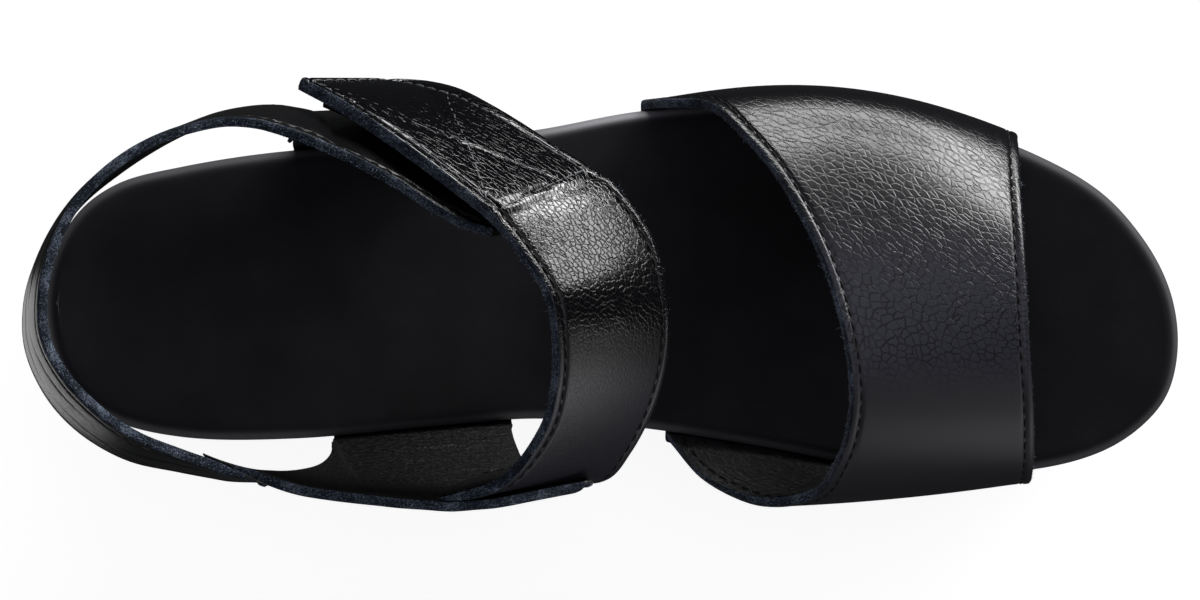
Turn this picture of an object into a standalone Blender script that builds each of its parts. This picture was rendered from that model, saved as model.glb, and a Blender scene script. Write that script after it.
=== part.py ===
"""Left peep toe wedge sandal: moulded wedge sole, footbed, leather straps and a hook-and-loop closing.

The last has its own measures. Along runs from the heel to the toe in percent of the footbed's length,
side runs from the middle line in percent of half the ball width, plus to the lateral side, and rise is
the height over the footbed in percent of the instep height. Everything else is in millimetres.
"""
import bpy
import numpy as np

MM = 0.001

# Last and wedge
FOOTBED_LENGTH = 252.0
BALL_WIDTH = 83.0
INSTEP_HEIGHT = 80.0
HEEL_HEIGHT = 46.0
BALL_HEIGHT = 23.5
TOE_LIFT = 6.5
PITCH_FROM = 8.0
PITCH_TO = 68.0

# Footbed
FOOTBED_THICKNESS = 6.0
FOOTBED_ROLL = 3.0
FOOTBED_UNDER_RADIUS = 1.0

# Sole
SOLE_TOP_INSET = 0.6
SOLE_FLOOR_INSET = 3.0
HEEL_BACK_INSET = 4.0
SOLE_EDGE_RADIUS = 1.5
TOE_SPRING = 10.0
TOE_SPRING_FROM = 72.0
ARCH_LIFT = 2.0
ARCH_FROM = 33.0
ARCH_TO = 55.0
GROOVE_WIDTH = 2.6
GROOVE_DEPTH = 1.6
GROOVE_PITCH = 9.0

# Grooves of the tread: first one in mm from the heel, number of them
TREAD = (
    (14.0, 6),
    (143.0, 5),
)

# Leather and fastening
LEATHER = 2.1
TUCK = 10.0
SEAT = 0.3
PATCH = 1.15
BELLY_DROP = 1.25
POCKET_MARGIN = 0.8
STATION_SLACK = 0.001

# The sandal's own box is centred on the origin
ORIGIN_ALONG = 125.9
ORIGIN_SIDE = 1.2

# Fineness of the facets
STATIONS = 52
ACROSS = 6
FOREFOOT_ACROSS = 10
STEP = 5.0
ROLL_LOOPS = 5
EDGE_LOOPS = 3
BEND_POINTS = 4
NUDGE = 0.0001
SHARP_DEGREES = 40.0

# Looks: linear colour and roughness
SOLE_LOOK = ((0.012, 0.012, 0.013), 0.6)
FOOTBED_LOOK = ((0.010, 0.010, 0.011), 0.85)
STRAP_LOOK = ((0.011, 0.011, 0.012), 0.38)
QUARTER_LOOK = ((0.011, 0.011, 0.012), 0.42)
PATCH_LOOK = ((0.008, 0.008, 0.009), 0.95)

# Edge of the footbed: along, lateral side, medial side
FOOTBED_EDGE = (
    (0.0, -2, -2),
    (1.2, 31, -36),
    (3.2, 49, -53),
    (6.3, 62, -65),
    (11.9, 71, -73),
    (21.8, 80, -73),
    (33.7, 84, -67),
    (43.3, 88, -62),
    (52.0, 97, -67),
    (62.7, 106, -79),
    (73.4, 104, -91),
    (81.3, 93, -94),
    (88.1, 77, -91),
    (93.3, 58, -82),
    (97.2, 31, -66),
    (99.2, 7, -49),
    (100.0, -22, -22),
)

# Bands of leather, a row for each place along the band:
# along, side and rise of the first edge, along, side and rise of the second edge, bow outward in mm
FOREFOOT_ENDS = {"lateral": (52.4, 85.6), "medial": (54.6, 86.9)}
FOREFOOT_BAND = (
    (55.1, 102, 11, 85.3, 85, 6, 6.5),
    (58.3, 99, 22, 85.2, 78, 13, 6.0),
    (61.0, 86, 32, 85.2, 64, 19, 4.0),
    (64.0, 63, 42, 85.3, 36, 28, 2.0),
    (67.5, 22, 51, 85.5, 6, 32, 1.0),
    (69.8, -31, 54, 85.8, -32, 32, 0.5),
    (70.0, -60, 50, 86.2, -60, 28, 0.5),
    (69.0, -84, 41, 86.5, -81, 20, 0.5),
    (67.0, -101, 28, 86.6, -91, 12, 0.5),
    (62.5, -104, 14, 86.7, -93, 6, 1.0),
)
INSTEP_BAND = (
    (23.1, 108, 56, 31.4, 109, 37, 0.0),
    (26.4, 97, 66, 35.3, 106, 45, 0.0),
    (30.9, 79, 79, 39.2, 96, 59, 0.0),
    (35.8, 57, 91, 44.9, 76, 73, 0.5),
    (39.7, 38, 100, 49.6, 56, 81, 1.0),
    (42.0, 21, 102, 52.6, 30, 81, 1.0),
    (44.1, 0, 103, 53.7, 3, 81, 1.0),
    (44.6, -20, 101, 53.9, -18, 78, 1.0),
    (44.5, -43, 97, 53.0, -47, 74, 1.0),
    (43.4, -66, 90, 50.8, -74, 65, 1.0),
    (40.7, -86, 83, 48.0, -85, 54, 0.5),
    (36.5, -97, 77, 42.5, -80, 46, 0.0),
)
MEDIAL_FRONT = (
    (48.0, -92, 73, 47.4, -95, 58, 0.0),
    (43.6, -97, 77, 42.0, -81, 34, 2.0),
    (41.6, -99, 78, 40.9, -70, 14, 2.0),
)
MEDIAL_SOLE = (
    (40.0, -101, 78, 40.6, 2.0),
    (36.5, -103, 77, 38.0, 2.0),
    (31.9, -100, 76, 32.0, 2.0),
    (26.5, -95, 73, 25.2, 2.0),
)
MEDIAL_REAR = (
    (25.3, -94, 72, 24.9, -83, 24, 1.5),
    (23.5, -92, 71, 23.4, -87, 36, 1.0),
    (20.6, -86, 70, 20.6, -86, 43, 0.0),
    (15.8, -74, 69, 15.8, -80, 44, 0.0),
)
HEEL_BAND = (
    (20.8, -93, 71, 20.8, -93, 43, 0.0),
    (16.9, -84, 70, 16.7, -89, 42, 0.0),
    (13.6, -75, 71, 12.9, -83, 43, 0.0),
    (10.3, -66, 71, 8.7, -77, 44, 0.0),
    (7.0, -51, 73, 4.4, -61, 46, 0.0),
    (4.4, -33, 74, 1.9, -41, 47, 0.0),
    (3.2, -17, 75, 0.9, -21, 47, 0.0),
    (3.0, 0, 75, 0.8, -1, 47, 0.0),
    (3.7, 28, 75, 2.2, 27, 47, 0.0),
    (5.4, 49, 74, 4.4, 47, 47, 0.0),
    (8.7, 69, 74, 8.0, 66, 46, 0.0),
    (14.5, 85, 74, 14.2, 87, 46, 0.0),
    (17.4, 87, 74, 16.8, 92, 46, 0.5),
    (20.6, 86, 76, 20.4, 96, 44, 1.0),
    (22.6, 82, 77, 21.9, 92, 20, 2.5),
)
LATERAL_SOLE = (
    (23.6, 80, 77, 21.7, 6.0),
    (28.7, 66, 83, 31.0, 8.0),
    (32.0, 55, 86, 37.7, 9.5),
)
LATERAL_TAB = (
    (35.3, 42, 91, 42.0, 80, 46, 2.0),
    (37.8, 32, 94, 45.5, 63, 69, 1.0),
    (40.3, 26, 97, 48.0, 45, 80, 0.0),
)


def ease(share):
    """Smooth step from 0 to 1."""
    share = np.clip(share, 0.0, 1.0)
    return share * share * (3.0 - 2.0 * share)


def smooth(places, values, wanted):
    """Cubic curve through the rows, with each row's slope taken from its neighbours."""
    places = np.asarray(places, float)
    values = np.asarray(values, float)
    slopes = np.gradient(values, places, axis=0)
    row = np.clip(np.searchsorted(places, wanted, side="right") - 1, 0, len(places) - 2)
    extra = (1,) * (values.ndim - 1)
    width = (places[row + 1] - places[row]).reshape((-1,) + extra)
    t = (wanted - places[row]).reshape((-1,) + extra) / width
    start = (1 + 2 * t) * (1 - t) ** 2 * values[row] + t * (1 - t) ** 2 * width * slopes[row]
    end = t * t * (3 - 2 * t) * values[row + 1] - t * t * (1 - t) * width * slopes[row + 1]
    return start + end


def footbed_top(along):
    """Height of the footbed: the heel's pitch down to the ball and the lift of the toe."""
    pitch = (HEEL_HEIGHT - BALL_HEIGHT) * (1.0 - ease((along - PITCH_FROM) / (PITCH_TO - PITCH_FROM)))
    toe = TOE_LIFT * np.clip((along - PITCH_TO) / (100.0 - PITCH_TO), 0.0, None) ** 2
    return BALL_HEIGHT + pitch + toe


def footbed_under(along):
    """Height of the footbed's underside."""
    return footbed_top(along) - FOOTBED_THICKNESS


def floor_line(along):
    """Underside of the sole: flat at heel and ball, hollow at the arch, sprung at the toe."""
    spring = TOE_SPRING * np.clip((along - TOE_SPRING_FROM) / (100.0 - TOE_SPRING_FROM), 0.0, None) ** 2
    middle = (ARCH_FROM + ARCH_TO) / 2.0
    reach = (ARCH_TO - ARCH_FROM) / 2.0
    return spring + ARCH_LIFT * ease(1.0 - np.abs(along - middle) / reach)


def turn(along):
    """Angle that runs evenly round the ends of the footbed, from 0 at the heel to pi at the toe."""
    return np.arccos(np.clip(1.0 - along / 50.0, -1.0, 1.0))


def edge_half(angle, column):
    """Side of the footbed's edge in mm, lateral in column 1 and medial in column 2."""
    table = np.array(FOOTBED_EDGE)
    return smooth(turn(table[:, 0]), table[:, column], angle) * BALL_WIDTH / 200.0


def half_outline(column, angles):
    """Points of one half of the footbed's edge, with the directions that point out of it."""
    sign = 1.0 if column == 1 else -1.0

    def place(angle):
        along = (1.0 - np.cos(angle)) / 2.0 * FOOTBED_LENGTH
        return np.stack([along, edge_half(np.clip(angle, 0.0, np.pi), column)], axis=-1)

    ahead = place(np.clip(angles + NUDGE, 0.0, np.pi)) - place(np.clip(angles - NUDGE, 0.0, np.pi))
    outward = np.stack([-ahead[:, 1], ahead[:, 0]], axis=-1) * sign
    return place(angles), outward / np.linalg.norm(outward, axis=1, keepdims=True)


def outline(stations):
    """Closed edge of the footbed through stations along it: heel, lateral side, toe, medial side."""
    angles = turn(stations)
    lateral, lateral_out = half_outline(1, angles)
    medial, medial_out = half_outline(2, angles)
    back = np.array([[-1.0, 0.0]])
    tip = np.array([[1.0, 0.0]])
    points = np.vstack([lateral, medial[-2:0:-1]])
    outward = np.vstack([back, lateral_out[1:-1], tip, medial_out[-2:0:-1]])
    return points, outward


def even_stations():
    """Stations in percent along, closer together round the heel and the toe."""
    return 50.0 * (1.0 - np.cos(np.linspace(0.0, np.pi, STATIONS + 1)))


def last_points(table):
    """Points in mm from columns of along, side and rise."""
    along, side, rise = np.asarray(table, float).T
    height = footbed_top(along) + rise / 100.0 * INSTEP_HEIGHT
    return np.stack([along / 100.0 * FOOTBED_LENGTH, side / 200.0 * BALL_WIDTH, height], axis=-1)


def outward_normals(grid):
    """Unit normals of a grid of points, from its two directions."""
    normals = np.cross(np.gradient(grid, axis=0), np.gradient(grid, axis=1))
    return normals / np.linalg.norm(normals, axis=2, keepdims=True)


def ruled_rows(rows, across=ACROSS):
    """A row of points from the first edge to the second for each row, bowed outward in the middle."""
    rows = np.asarray(rows, float)
    t = np.linspace(0.0, 1.0, across + 1)[None, :, None]
    flat = last_points(rows[:, 0:3])[:, None] * (1.0 - t) + last_points(rows[:, 3:6])[:, None] * t
    return flat + outward_normals(flat) * 4.0 * t * (1.0 - t) * rows[:, 6, None, None]


def tuck_profile():
    """Way round the footbed's lower edge: outward distance and height over its underside."""
    radius = FOOTBED_UNDER_RADIUS
    reach = radius + SEAT
    swing = np.linspace(0.0, np.pi / 2.0, BEND_POINTS)
    bend = np.stack([reach * np.cos(swing) - radius, radius - reach * np.sin(swing)], axis=-1)
    start = [[SEAT, FOOTBED_THICKNESS - FOOTBED_ROLL]]
    end = [[-TUCK / 2.0, -SEAT], [-TUCK, -SEAT]]
    return np.vstack([start, bend, end])


def tuck(column, along):
    """Leather round the footbed's edge and under it: a row of points for each place along."""
    points, outward = half_outline(column, turn(np.asarray(along, float)))
    profile = tuck_profile()
    flat = points[:, None] + outward[:, None] * profile[None, :, 0, None]
    height = footbed_under(flat[:, :, 0] / FOOTBED_LENGTH * 100.0) + profile[None, :, 1]
    return np.concatenate([flat, height[:, :, None]], axis=2)


def sole_rows(rows, column):
    """Rows of points from a top edge down to the footbed's edge, bowed outward below the middle."""
    rows = np.asarray(rows, float)
    t = np.linspace(0.0, 1.0, ACROSS + 1)[None, :, None]
    foot = tuck(column, rows[:, 3])[:, 0]
    flat = last_points(rows[:, 0:3])[:, None] * (1.0 - t) + foot[:, None] * t
    belly = np.sin(np.pi * t ** BELLY_DROP)
    return flat + outward_normals(flat) * belly * rows[:, 4, None, None]


def fill_between(rows):
    """Smooth grid through rows of points, and the place of each row in it."""
    lengths = np.linalg.norm(np.diff(rows, axis=0), axis=2).mean(axis=1)
    places = np.concatenate([[0.0], np.cumsum(lengths)])
    counts = np.maximum(1, np.round(lengths / STEP)).astype(int)
    parts = [np.linspace(a, b, n, endpoint=False) for a, b, n in zip(places[:-1], places[1:], counts)]
    wanted = np.concatenate(parts + [places[-1:]])
    return smooth(places, rows, wanted), np.concatenate([[0], np.cumsum(counts)])


def add_tuck(grid, column, first, last):
    """Lengthen the part of a grid that stands on the sole, from one row to another, under the footbed."""
    along = grid[first:last + 1, -1, 0] / FOOTBED_LENGTH * 100.0
    under = tuck(column, along)
    grid[first:last + 1, -1] = under[:, 0]
    longer = np.repeat(grid[:, -1:], under.shape[1] - 1, axis=1)
    longer[first:last + 1] = under[:, 1:]
    keep = np.ones((len(grid) - 1, grid.shape[1] + longer.shape[1] - 1), bool)
    keep[:, grid.shape[1] - 1:] = False
    keep[first:last, grid.shape[1] - 1:] = True
    return np.concatenate([grid, longer], axis=1), keep


def new_object(name, vertices, faces, collection):
    """Mesh object from points in mm of the last, with the sandal's box centred on the origin."""
    mesh = bpy.data.meshes.new(name)
    placed = (np.asarray(vertices) - [ORIGIN_ALONG, ORIGIN_SIDE, 0.0]) * MM
    mesh.from_pydata(placed.tolist(), [], faces)
    thing = bpy.data.objects.new(name, mesh)
    collection.objects.link(thing)
    return thing


def sheet(name, grid, thickness, collection, keep=None):
    """Open surface through a grid of points, thickened to its outer side."""
    rows, columns = grid.shape[:2]
    keep = np.ones((rows - 1, columns - 1), bool) if keep is None else keep
    corner = np.arange(rows * columns).reshape(rows, columns)
    quads = np.stack([corner[:-1, :-1], corner[1:, :-1], corner[1:, 1:], corner[:-1, 1:]], axis=2)[keep]
    used, renumbered = np.unique(quads, return_inverse=True)
    faces = renumbered.reshape(quads.shape).tolist()
    thing = new_object(name, grid.reshape(-1, 3)[used], faces, collection)
    wall = thing.modifiers.new("wall", "SOLIDIFY")
    wall.thickness = thickness * MM
    wall.offset = 1.0
    wall.use_even_offset = True
    wall.use_quality_normals = True
    return thing


def stacked(name, loops, collection):
    """Closed body through stacked loops of the footbed's outline, from the top one down."""
    count = len(loops[0])
    faces = []
    for level in range(len(loops) - 1):
        for i in range(count):
            upper = level * count
            j = (i + 1) % count
            faces.append((upper + i, upper + j, upper + count + j, upper + count + i))
    for base, order in ((0, -1), ((len(loops) - 1) * count, 1)):
        for i in range(count // 2):
            lateral = [base + i, base + i + 1]
            medial = [base + (count - i - 1) % count, base + (count - i) % count]
            ring = list(dict.fromkeys(lateral + medial))
            faces.append(tuple(ring[::order]))
    return new_object(name, np.vstack(loops), faces, collection)


def loop_at(points, outward, inset, surface, lift):
    """One loop of the outline moved inwards, at a lift over one of the heights along the last."""
    flat = points - outward * np.broadcast_to(inset, len(points))[:, None]
    return np.column_stack([flat, surface(flat[:, 0] / FOOTBED_LENGTH * 100.0) + lift])


def finish(thing, look):
    """Principled material and smooth shading for one piece."""
    colour, roughness = look
    material = bpy.data.materials.new(thing.name)
    material.use_nodes = True
    shader = material.node_tree.nodes["Principled BSDF"]
    shader.inputs["Base Color"].default_value = (*colour, 1.0)
    shader.inputs["Roughness"].default_value = roughness
    shader.inputs["Metallic"].default_value = 0.0
    thing.data.materials.append(material)
    thing.data.shade_smooth()
    thing.data.set_sharp_from_angle(angle=np.radians(SHARP_DEGREES))


def make_footbed(collection):
    """Padded board with a rolled upper edge and a small radius under it."""
    points, outward = outline(even_stations())
    loops = []
    for a in np.linspace(0.0, np.pi / 2.0, ROLL_LOOPS):
        drop = FOOTBED_ROLL * (1 - np.cos(a))
        inset = FOOTBED_ROLL * (1 - np.sin(a))
        loops.append(loop_at(points, outward, inset, footbed_top, -drop))
    for a in np.linspace(0.0, np.pi / 2.0, EDGE_LOOPS):
        lift = FOOTBED_UNDER_RADIUS * (1 - np.sin(a))
        inset = FOOTBED_UNDER_RADIUS * (1 - np.cos(a))
        loops.append(loop_at(points, outward, inset, footbed_under, lift))
    return stacked("footbed", loops, collection)


def strap_spans():
    """Stretches of the lateral and the medial edge where leather goes under the footbed."""
    lateral = (FOREFOOT_ENDS["lateral"], (LATERAL_SOLE[0][3], LATERAL_SOLE[-1][3]))
    medial = (FOREFOOT_ENDS["medial"], (MEDIAL_SOLE[-1][3], MEDIAL_SOLE[0][3]))
    return lateral, medial


def grooves():
    """Start and end of each tread groove, in percent along."""
    rows = [first + GROOVE_PITCH * np.arange(count) for first, count in TREAD]
    starts = np.concatenate(rows)
    spans = np.stack([starts, starts + GROOVE_WIDTH], axis=-1) / FOOTBED_LENGTH * 100.0
    return spans.tolist()


def within(along, spans, margin=0.0):
    """1 inside any of the spans, else 0."""
    inside = [(along >= low - margin) & (along <= high + margin) for low, high in spans]
    return np.any(inside, axis=0).astype(float)


def sole_stations(lateral, medial):
    """Even stations, and a pair of close ones at each side of a pocket or groove."""
    margin = POCKET_MARGIN / FOOTBED_LENGTH * 100.0
    step = SEAT / FOOTBED_LENGTH * 100.0
    spans = [(low - margin, high + margin) for low, high in lateral + medial] + grooves()
    sides = np.array([(low - step, low, high, high + step) for low, high in spans]).ravel()
    even = even_stations()
    clear = np.abs(even[:, None] - sides[None, :]).min(axis=1) > 2.0 * step
    return np.sort(np.concatenate([even[clear], sides]))


def make_sole(collection):
    """Wedge from the footbed's underside to the floor, with pockets for the leather and grooves below."""
    lateral, medial = strap_spans()
    stations = sole_stations(lateral, medial)
    points, outward = outline(stations)
    along = points[:, 0] / FOOTBED_LENGTH * 100.0
    margin = POCKET_MARGIN / FOOTBED_LENGTH * 100.0 + STATION_SLACK
    is_lateral = np.arange(len(points)) < len(stations)
    pocket = np.where(is_lateral, within(along, lateral, margin), within(along, medial, margin))
    depth = pocket * (LEATHER + SEAT)
    groove = within(along, grooves(), STATION_SLACK) * GROOVE_DEPTH
    floor_inset = SOLE_FLOOR_INSET + HEEL_BACK_INSET * np.clip(-outward[:, 0], 0.0, 1.0) ** 2
    shelf = TUCK + SEAT
    loops = [
        loop_at(points, outward, shelf + SEAT, footbed_under, -SEAT),
        loop_at(points, outward, shelf, footbed_under, -SEAT - depth),
        loop_at(points, outward, SOLE_TOP_INSET, footbed_under, -SEAT - depth),
    ]
    for a in np.linspace(0.0, np.pi / 2.0, EDGE_LOOPS):
        lift = SOLE_EDGE_RADIUS * (1 - np.sin(a)) + groove
        inset = floor_inset + SOLE_EDGE_RADIUS * (1 - np.cos(a))
        loops.append(loop_at(points, outward, inset, floor_line, lift))
    return stacked("sole", loops, collection)


def make_forefoot_strap(collection):
    """Wide band over the ball, from under the lateral edge to under the medial edge."""
    t = np.linspace(0.0, 1.0, FOREFOOT_ACROSS + 1)
    ends = {side: low + (high - low) * t for side, (low, high) in FOREFOOT_ENDS.items()}
    lateral = tuck(1, ends["lateral"]).transpose(1, 0, 2)
    medial = tuck(2, ends["medial"]).transpose(1, 0, 2)
    rows = np.concatenate([lateral[:1], ruled_rows(FOREFOOT_BAND, FOREFOOT_ACROSS), medial[:1]])
    grid = fill_between(rows)[0]
    grid = np.concatenate([lateral[:0:-1], grid, medial[1:]])
    return sheet("forefoot_strap", grid, LEATHER, collection)


def instep_grid():
    """Inner face of the instep strap, from the tip of its flap to its medial end."""
    return fill_between(ruled_rows(INSTEP_BAND))


def make_instep_strap(collection):
    """Strap over the instep with its closing flap."""
    return sheet("instep_strap", instep_grid()[0], LEATHER, collection)


def make_patches(collection):
    """Hooks under the flap and loops on the lateral quarter, each following the flap."""
    grid, rows = instep_grid()
    under_flap = (slice(rows[0] + 1, rows[4]), slice(1, -1))
    inner = grid[under_flap]
    away = outward_normals(grid)[under_flap]
    hook = sheet("hook_patch", inner - away * (SEAT + PATCH), PATCH, collection)
    loop = sheet("loop_patch", inner - away * 2 * (SEAT + PATCH), PATCH, collection)
    return hook, loop


def make_back_strap(collection):
    """Heel strap and lateral quarter in one piece, from the medial lap round the heel to the tab."""
    foot = sole_rows(LATERAL_SOLE, 1)
    rows = np.concatenate([ruled_rows(HEEL_BAND), foot, ruled_rows(LATERAL_TAB)])
    grid, places = fill_between(rows)
    first = places[len(HEEL_BAND)]
    last = places[len(HEEL_BAND) + len(LATERAL_SOLE) - 1]
    grid, keep = add_tuck(grid, 1, first, last)
    return sheet("back_strap", grid, LEATHER, collection, keep)


def make_medial_quarter(collection):
    """Short quarter from the instep tab back to the lap inside the heel strap."""
    foot = sole_rows(MEDIAL_SOLE, 2)
    rows = np.concatenate([ruled_rows(MEDIAL_FRONT), foot, ruled_rows(MEDIAL_REAR)])
    grid, places = fill_between(rows)
    first = places[len(MEDIAL_FRONT)]
    last = places[len(MEDIAL_FRONT) + len(MEDIAL_SOLE) - 1]
    grid, keep = add_tuck(grid, 2, first, last)
    return sheet("medial_quarter", grid, LEATHER, collection, keep)


def new_collection(name):
    """Empty collection in the scene."""
    collection = bpy.data.collections.new(name)
    bpy.context.scene.collection.children.link(collection)
    return collection


def build():
    """The whole sandal, from the sole up."""
    for old in list(bpy.data.objects):
        bpy.data.objects.remove(old, do_unlink=True)
    pieces = new_collection("peep_toe_wedge_sandal")
    finish(make_sole(pieces), SOLE_LOOK)
    finish(make_footbed(pieces), FOOTBED_LOOK)
    finish(make_forefoot_strap(pieces), STRAP_LOOK)
    finish(make_back_strap(pieces), QUARTER_LOOK)
    finish(make_medial_quarter(pieces), QUARTER_LOOK)
    finish(make_instep_strap(pieces), STRAP_LOOK)
    for patch in make_patches(pieces):
        finish(patch, PATCH_LOOK)


build()
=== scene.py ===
"""Looks of a left peep toe wedge sandal: black pebbled leather straps on a nubuck footbed and a wedge sole.

Along, side and rise are the last's own measures, as percent of the footbed's length, of half the ball
width and of the instep height over the footbed. Everything else on the sandal is in mm until it is placed.
"""

import bpy
import bmesh
import numpy as np
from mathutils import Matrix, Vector


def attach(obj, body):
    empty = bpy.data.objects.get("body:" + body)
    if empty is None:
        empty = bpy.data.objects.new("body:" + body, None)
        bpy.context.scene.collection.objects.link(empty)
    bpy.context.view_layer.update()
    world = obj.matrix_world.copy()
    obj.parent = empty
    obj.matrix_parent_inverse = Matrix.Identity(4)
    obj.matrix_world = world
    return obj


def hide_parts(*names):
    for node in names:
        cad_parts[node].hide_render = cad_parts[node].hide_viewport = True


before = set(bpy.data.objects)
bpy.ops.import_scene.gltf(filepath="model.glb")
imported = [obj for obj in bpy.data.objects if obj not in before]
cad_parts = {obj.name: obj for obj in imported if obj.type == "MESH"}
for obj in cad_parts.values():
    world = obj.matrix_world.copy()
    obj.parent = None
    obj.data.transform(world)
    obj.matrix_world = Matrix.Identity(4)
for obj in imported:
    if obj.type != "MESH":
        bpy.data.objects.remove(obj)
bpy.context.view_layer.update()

# Sole: one wedge of black polyurethane foam, moulded in one shot with its tread, glued under the footbed.
# The mould leaves a closed skin of fine matte grain. The straps' ends lie in shallow pockets of its top.
MM = 0.001
FOOTBED_LENGTH = 252.0
BALL_WIDTH = 83.0
HEEL_HEIGHT = 46.0
BALL_HEIGHT = 23.5
TOE_LIFT = 6.5
PITCH_FROM, PITCH_TO = 8.0, 68.0
FOOTBED_THICKNESS = 6.0
LEATHER = 2.1
TUCK = 10.0
SEAT = 0.3
ORIGIN_ALONG = 125.9
ORIGIN_SIDE = 1.2
# the two sides of the foot, as their columns in the table of the footbed's edge
LATERAL, MEDIAL = 1, 2
FOOTBED_EDGE = (
    # along, lateral side, medial side
    (0.0, -2, -2),
    (1.2, 31, -36),
    (3.2, 49, -53),
    (6.3, 62, -65),
    (11.9, 71, -73),
    (21.8, 80, -74),
    (33.7, 84, -68),
    (43.3, 92, -64),
    (52.0, 102, -69),
    (62.7, 106, -79),
    (73.4, 104, -91),
    (81.3, 93, -94),
    (88.1, 77, -91),
    (93.3, 58, -82),
    (97.2, 31, -66),
    (99.2, 7, -49),
    (100.0, -22, -22),
)
SOLE_TOP_INSET = 0.6
SOLE_TOP_BEVEL = 0.4
SOLE_SIDE_INSET = 0.8
SOLE_FLOOR_INSET = 3.0
HEEL_BACK_INSET = 4.0
SOLE_EDGE_RADIUS = 1.5
TOE_SPRING, TOE_SPRING_FROM = 10.0, 72.0
ARCH_LIFT, ARCH_FROM, ARCH_TO = 2.0, 33.0, 55.0
GROOVE_WIDTH, GROOVE_DEPTH, GROOVE_PITCH = 2.6, 1.6, 9.0
SIDE_OVER_GROOVES = 0.6
TREAD = ((14.0, 6), (143.0, 5))
POCKET_MARGIN = 0.8
SKIN_UNDER_POCKETS = 1.0
# from and to along the footbed's edge, for the forefoot strap and for the quarter
LATERAL_POCKETS = ((52.4, 85.6), (21.7, 37.7))
MEDIAL_POCKETS = ((54.6, 86.9), (25.2, 40.7))
SOLE_STATIONS = 150
SOLE_SIDE_LOOPS = 10
SOLE_EDGE_LOOPS = 6
SOLE_ACROSS = 8
# slack in percent for stations at the end of a span, and how many steps the even ones keep from it
STATION_SLACK = 0.001
CLEAR_STEPS = 1.5
# the skin's grain, drawn coarser than the mould leaves it so that it shows, and the clouds of wear, in mm
SKIN_GRAIN, SKIN_CLOUD = 0.55, 22.0
# a colour Mix node's sockets: its two inputs and its output
MIX_A, MIX_B, MIXED = 6, 7, 2


def ease(share):
    """Smooth step: 3s^2 - 2s^3, held between 0 and 1."""
    share = np.clip(share, 0.0, 1.0)
    return share * share * (3.0 - 2.0 * share)


def unit(vectors):
    """Vectors divided by their lengths, and left zero where they have none."""
    length = np.linalg.norm(vectors, axis=-1, keepdims=True)
    return vectors / np.where(length > 0.0, length, 1.0)


def percent(along):
    """Places in mm along the last as percent of the footbed's length."""
    return along / FOOTBED_LENGTH * 100.0


def smooth(places, values, wanted, corners=()):
    """Cubic curve through rows of values, its slopes taken from the rows beside, and zero at a corner."""
    places = np.asarray(places, float)
    values = np.asarray(values, float)
    slopes = np.gradient(values, places, axis=0)
    slopes[list(corners)] = 0.0
    row = np.clip(np.searchsorted(places, wanted, side="right") - 1, 0, len(places) - 2)
    extra = (1,) * (values.ndim - 1)
    width = (places[row + 1] - places[row]).reshape((-1,) + extra)
    t = (wanted - places[row]).reshape((-1,) + extra) / width
    start = (1 + 2 * t) * (1 - t) ** 2 * values[row] + t * (1 - t) ** 2 * width * slopes[row]
    end = t * t * (3 - 2 * t) * values[row + 1] - t * t * (1 - t) * width * slopes[row + 1]
    return start + end


def footbed_top(along):
    """Height of the footbed: an eased fall from heel to ball, then a lift that grows as the square."""
    pitch = (HEEL_HEIGHT - BALL_HEIGHT) * (1.0 - ease((along - PITCH_FROM) / (PITCH_TO - PITCH_FROM)))
    toe = TOE_LIFT * np.clip((along - PITCH_TO) / (100.0 - PITCH_TO), 0.0, None) ** 2
    return BALL_HEIGHT + pitch + toe


def footbed_under(along):
    """Height of the footbed's underside: its top less its thickness."""
    return footbed_top(along) - FOOTBED_THICKNESS


def floor_line(along):
    """Underside of the sole: zero at heel and ball, an eased hump at the arch, a square rise at the toe."""
    spring = TOE_SPRING * np.clip((along - TOE_SPRING_FROM) / (100.0 - TOE_SPRING_FROM), 0.0, None) ** 2
    middle = (ARCH_FROM + ARCH_TO) / 2.0
    reach = (ARCH_TO - ARCH_FROM) / 2.0
    return spring + ARCH_LIFT * ease(1.0 - np.abs(along - middle) / reach)


def turn(along):
    """Angle that runs evenly round both ends of the footbed: the arc cosine of 1 - along / 50."""
    return np.arccos(np.clip(1.0 - along / 50.0, -1.0, 1.0))


def even_stations(count):
    """Stations along the footbed at even steps of that angle: 50 times 1 - its cosine."""
    return 50.0 * (1.0 - np.cos(np.linspace(0.0, np.pi, count + 1)))


def half_outline(column, angles):
    """One half of the footbed's edge at those angles, and the unit directions that point out of it."""
    table = np.array(FOOTBED_EDGE)
    nudge = 1e-4
    sign = 1.0 if column == LATERAL else -1.0

    def place(angle):
        angle = np.clip(angle, 0.0, np.pi)
        side = smooth(turn(table[:, 0]), table[:, column], angle) * BALL_WIDTH / 200.0
        return np.stack([(1.0 - np.cos(angle)) / 2.0 * FOOTBED_LENGTH, side], axis=-1)

    ahead = place(angles + nudge) - place(angles - nudge)
    return place(angles), unit(np.stack([-ahead[:, 1], ahead[:, 0]], axis=-1) * sign)


def outline(stations):
    """Closed edge of the footbed, and its outward directions: the lateral half from heel to toe, then the
    medial half back."""
    lateral, lateral_out = half_outline(LATERAL, turn(stations))
    medial, medial_out = half_outline(MEDIAL, turn(stations))
    heel, toe = [[-1.0, 0.0]], [[1.0, 0.0]]
    outward = np.vstack([heel, lateral_out[1:-1], toe, medial_out[-2:0:-1]])
    return np.vstack([lateral, medial[-2:0:-1]]), outward


def loop_at(edge, inset, surface, lift):
    """The outline moved inwards by an inset, at a lift over one of the heights along the last."""
    points, outward = edge
    flat = points - outward * np.broadcast_to(inset, len(points))[:, None]
    return np.column_stack([flat, surface(percent(flat[:, 0])) + lift])


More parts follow.
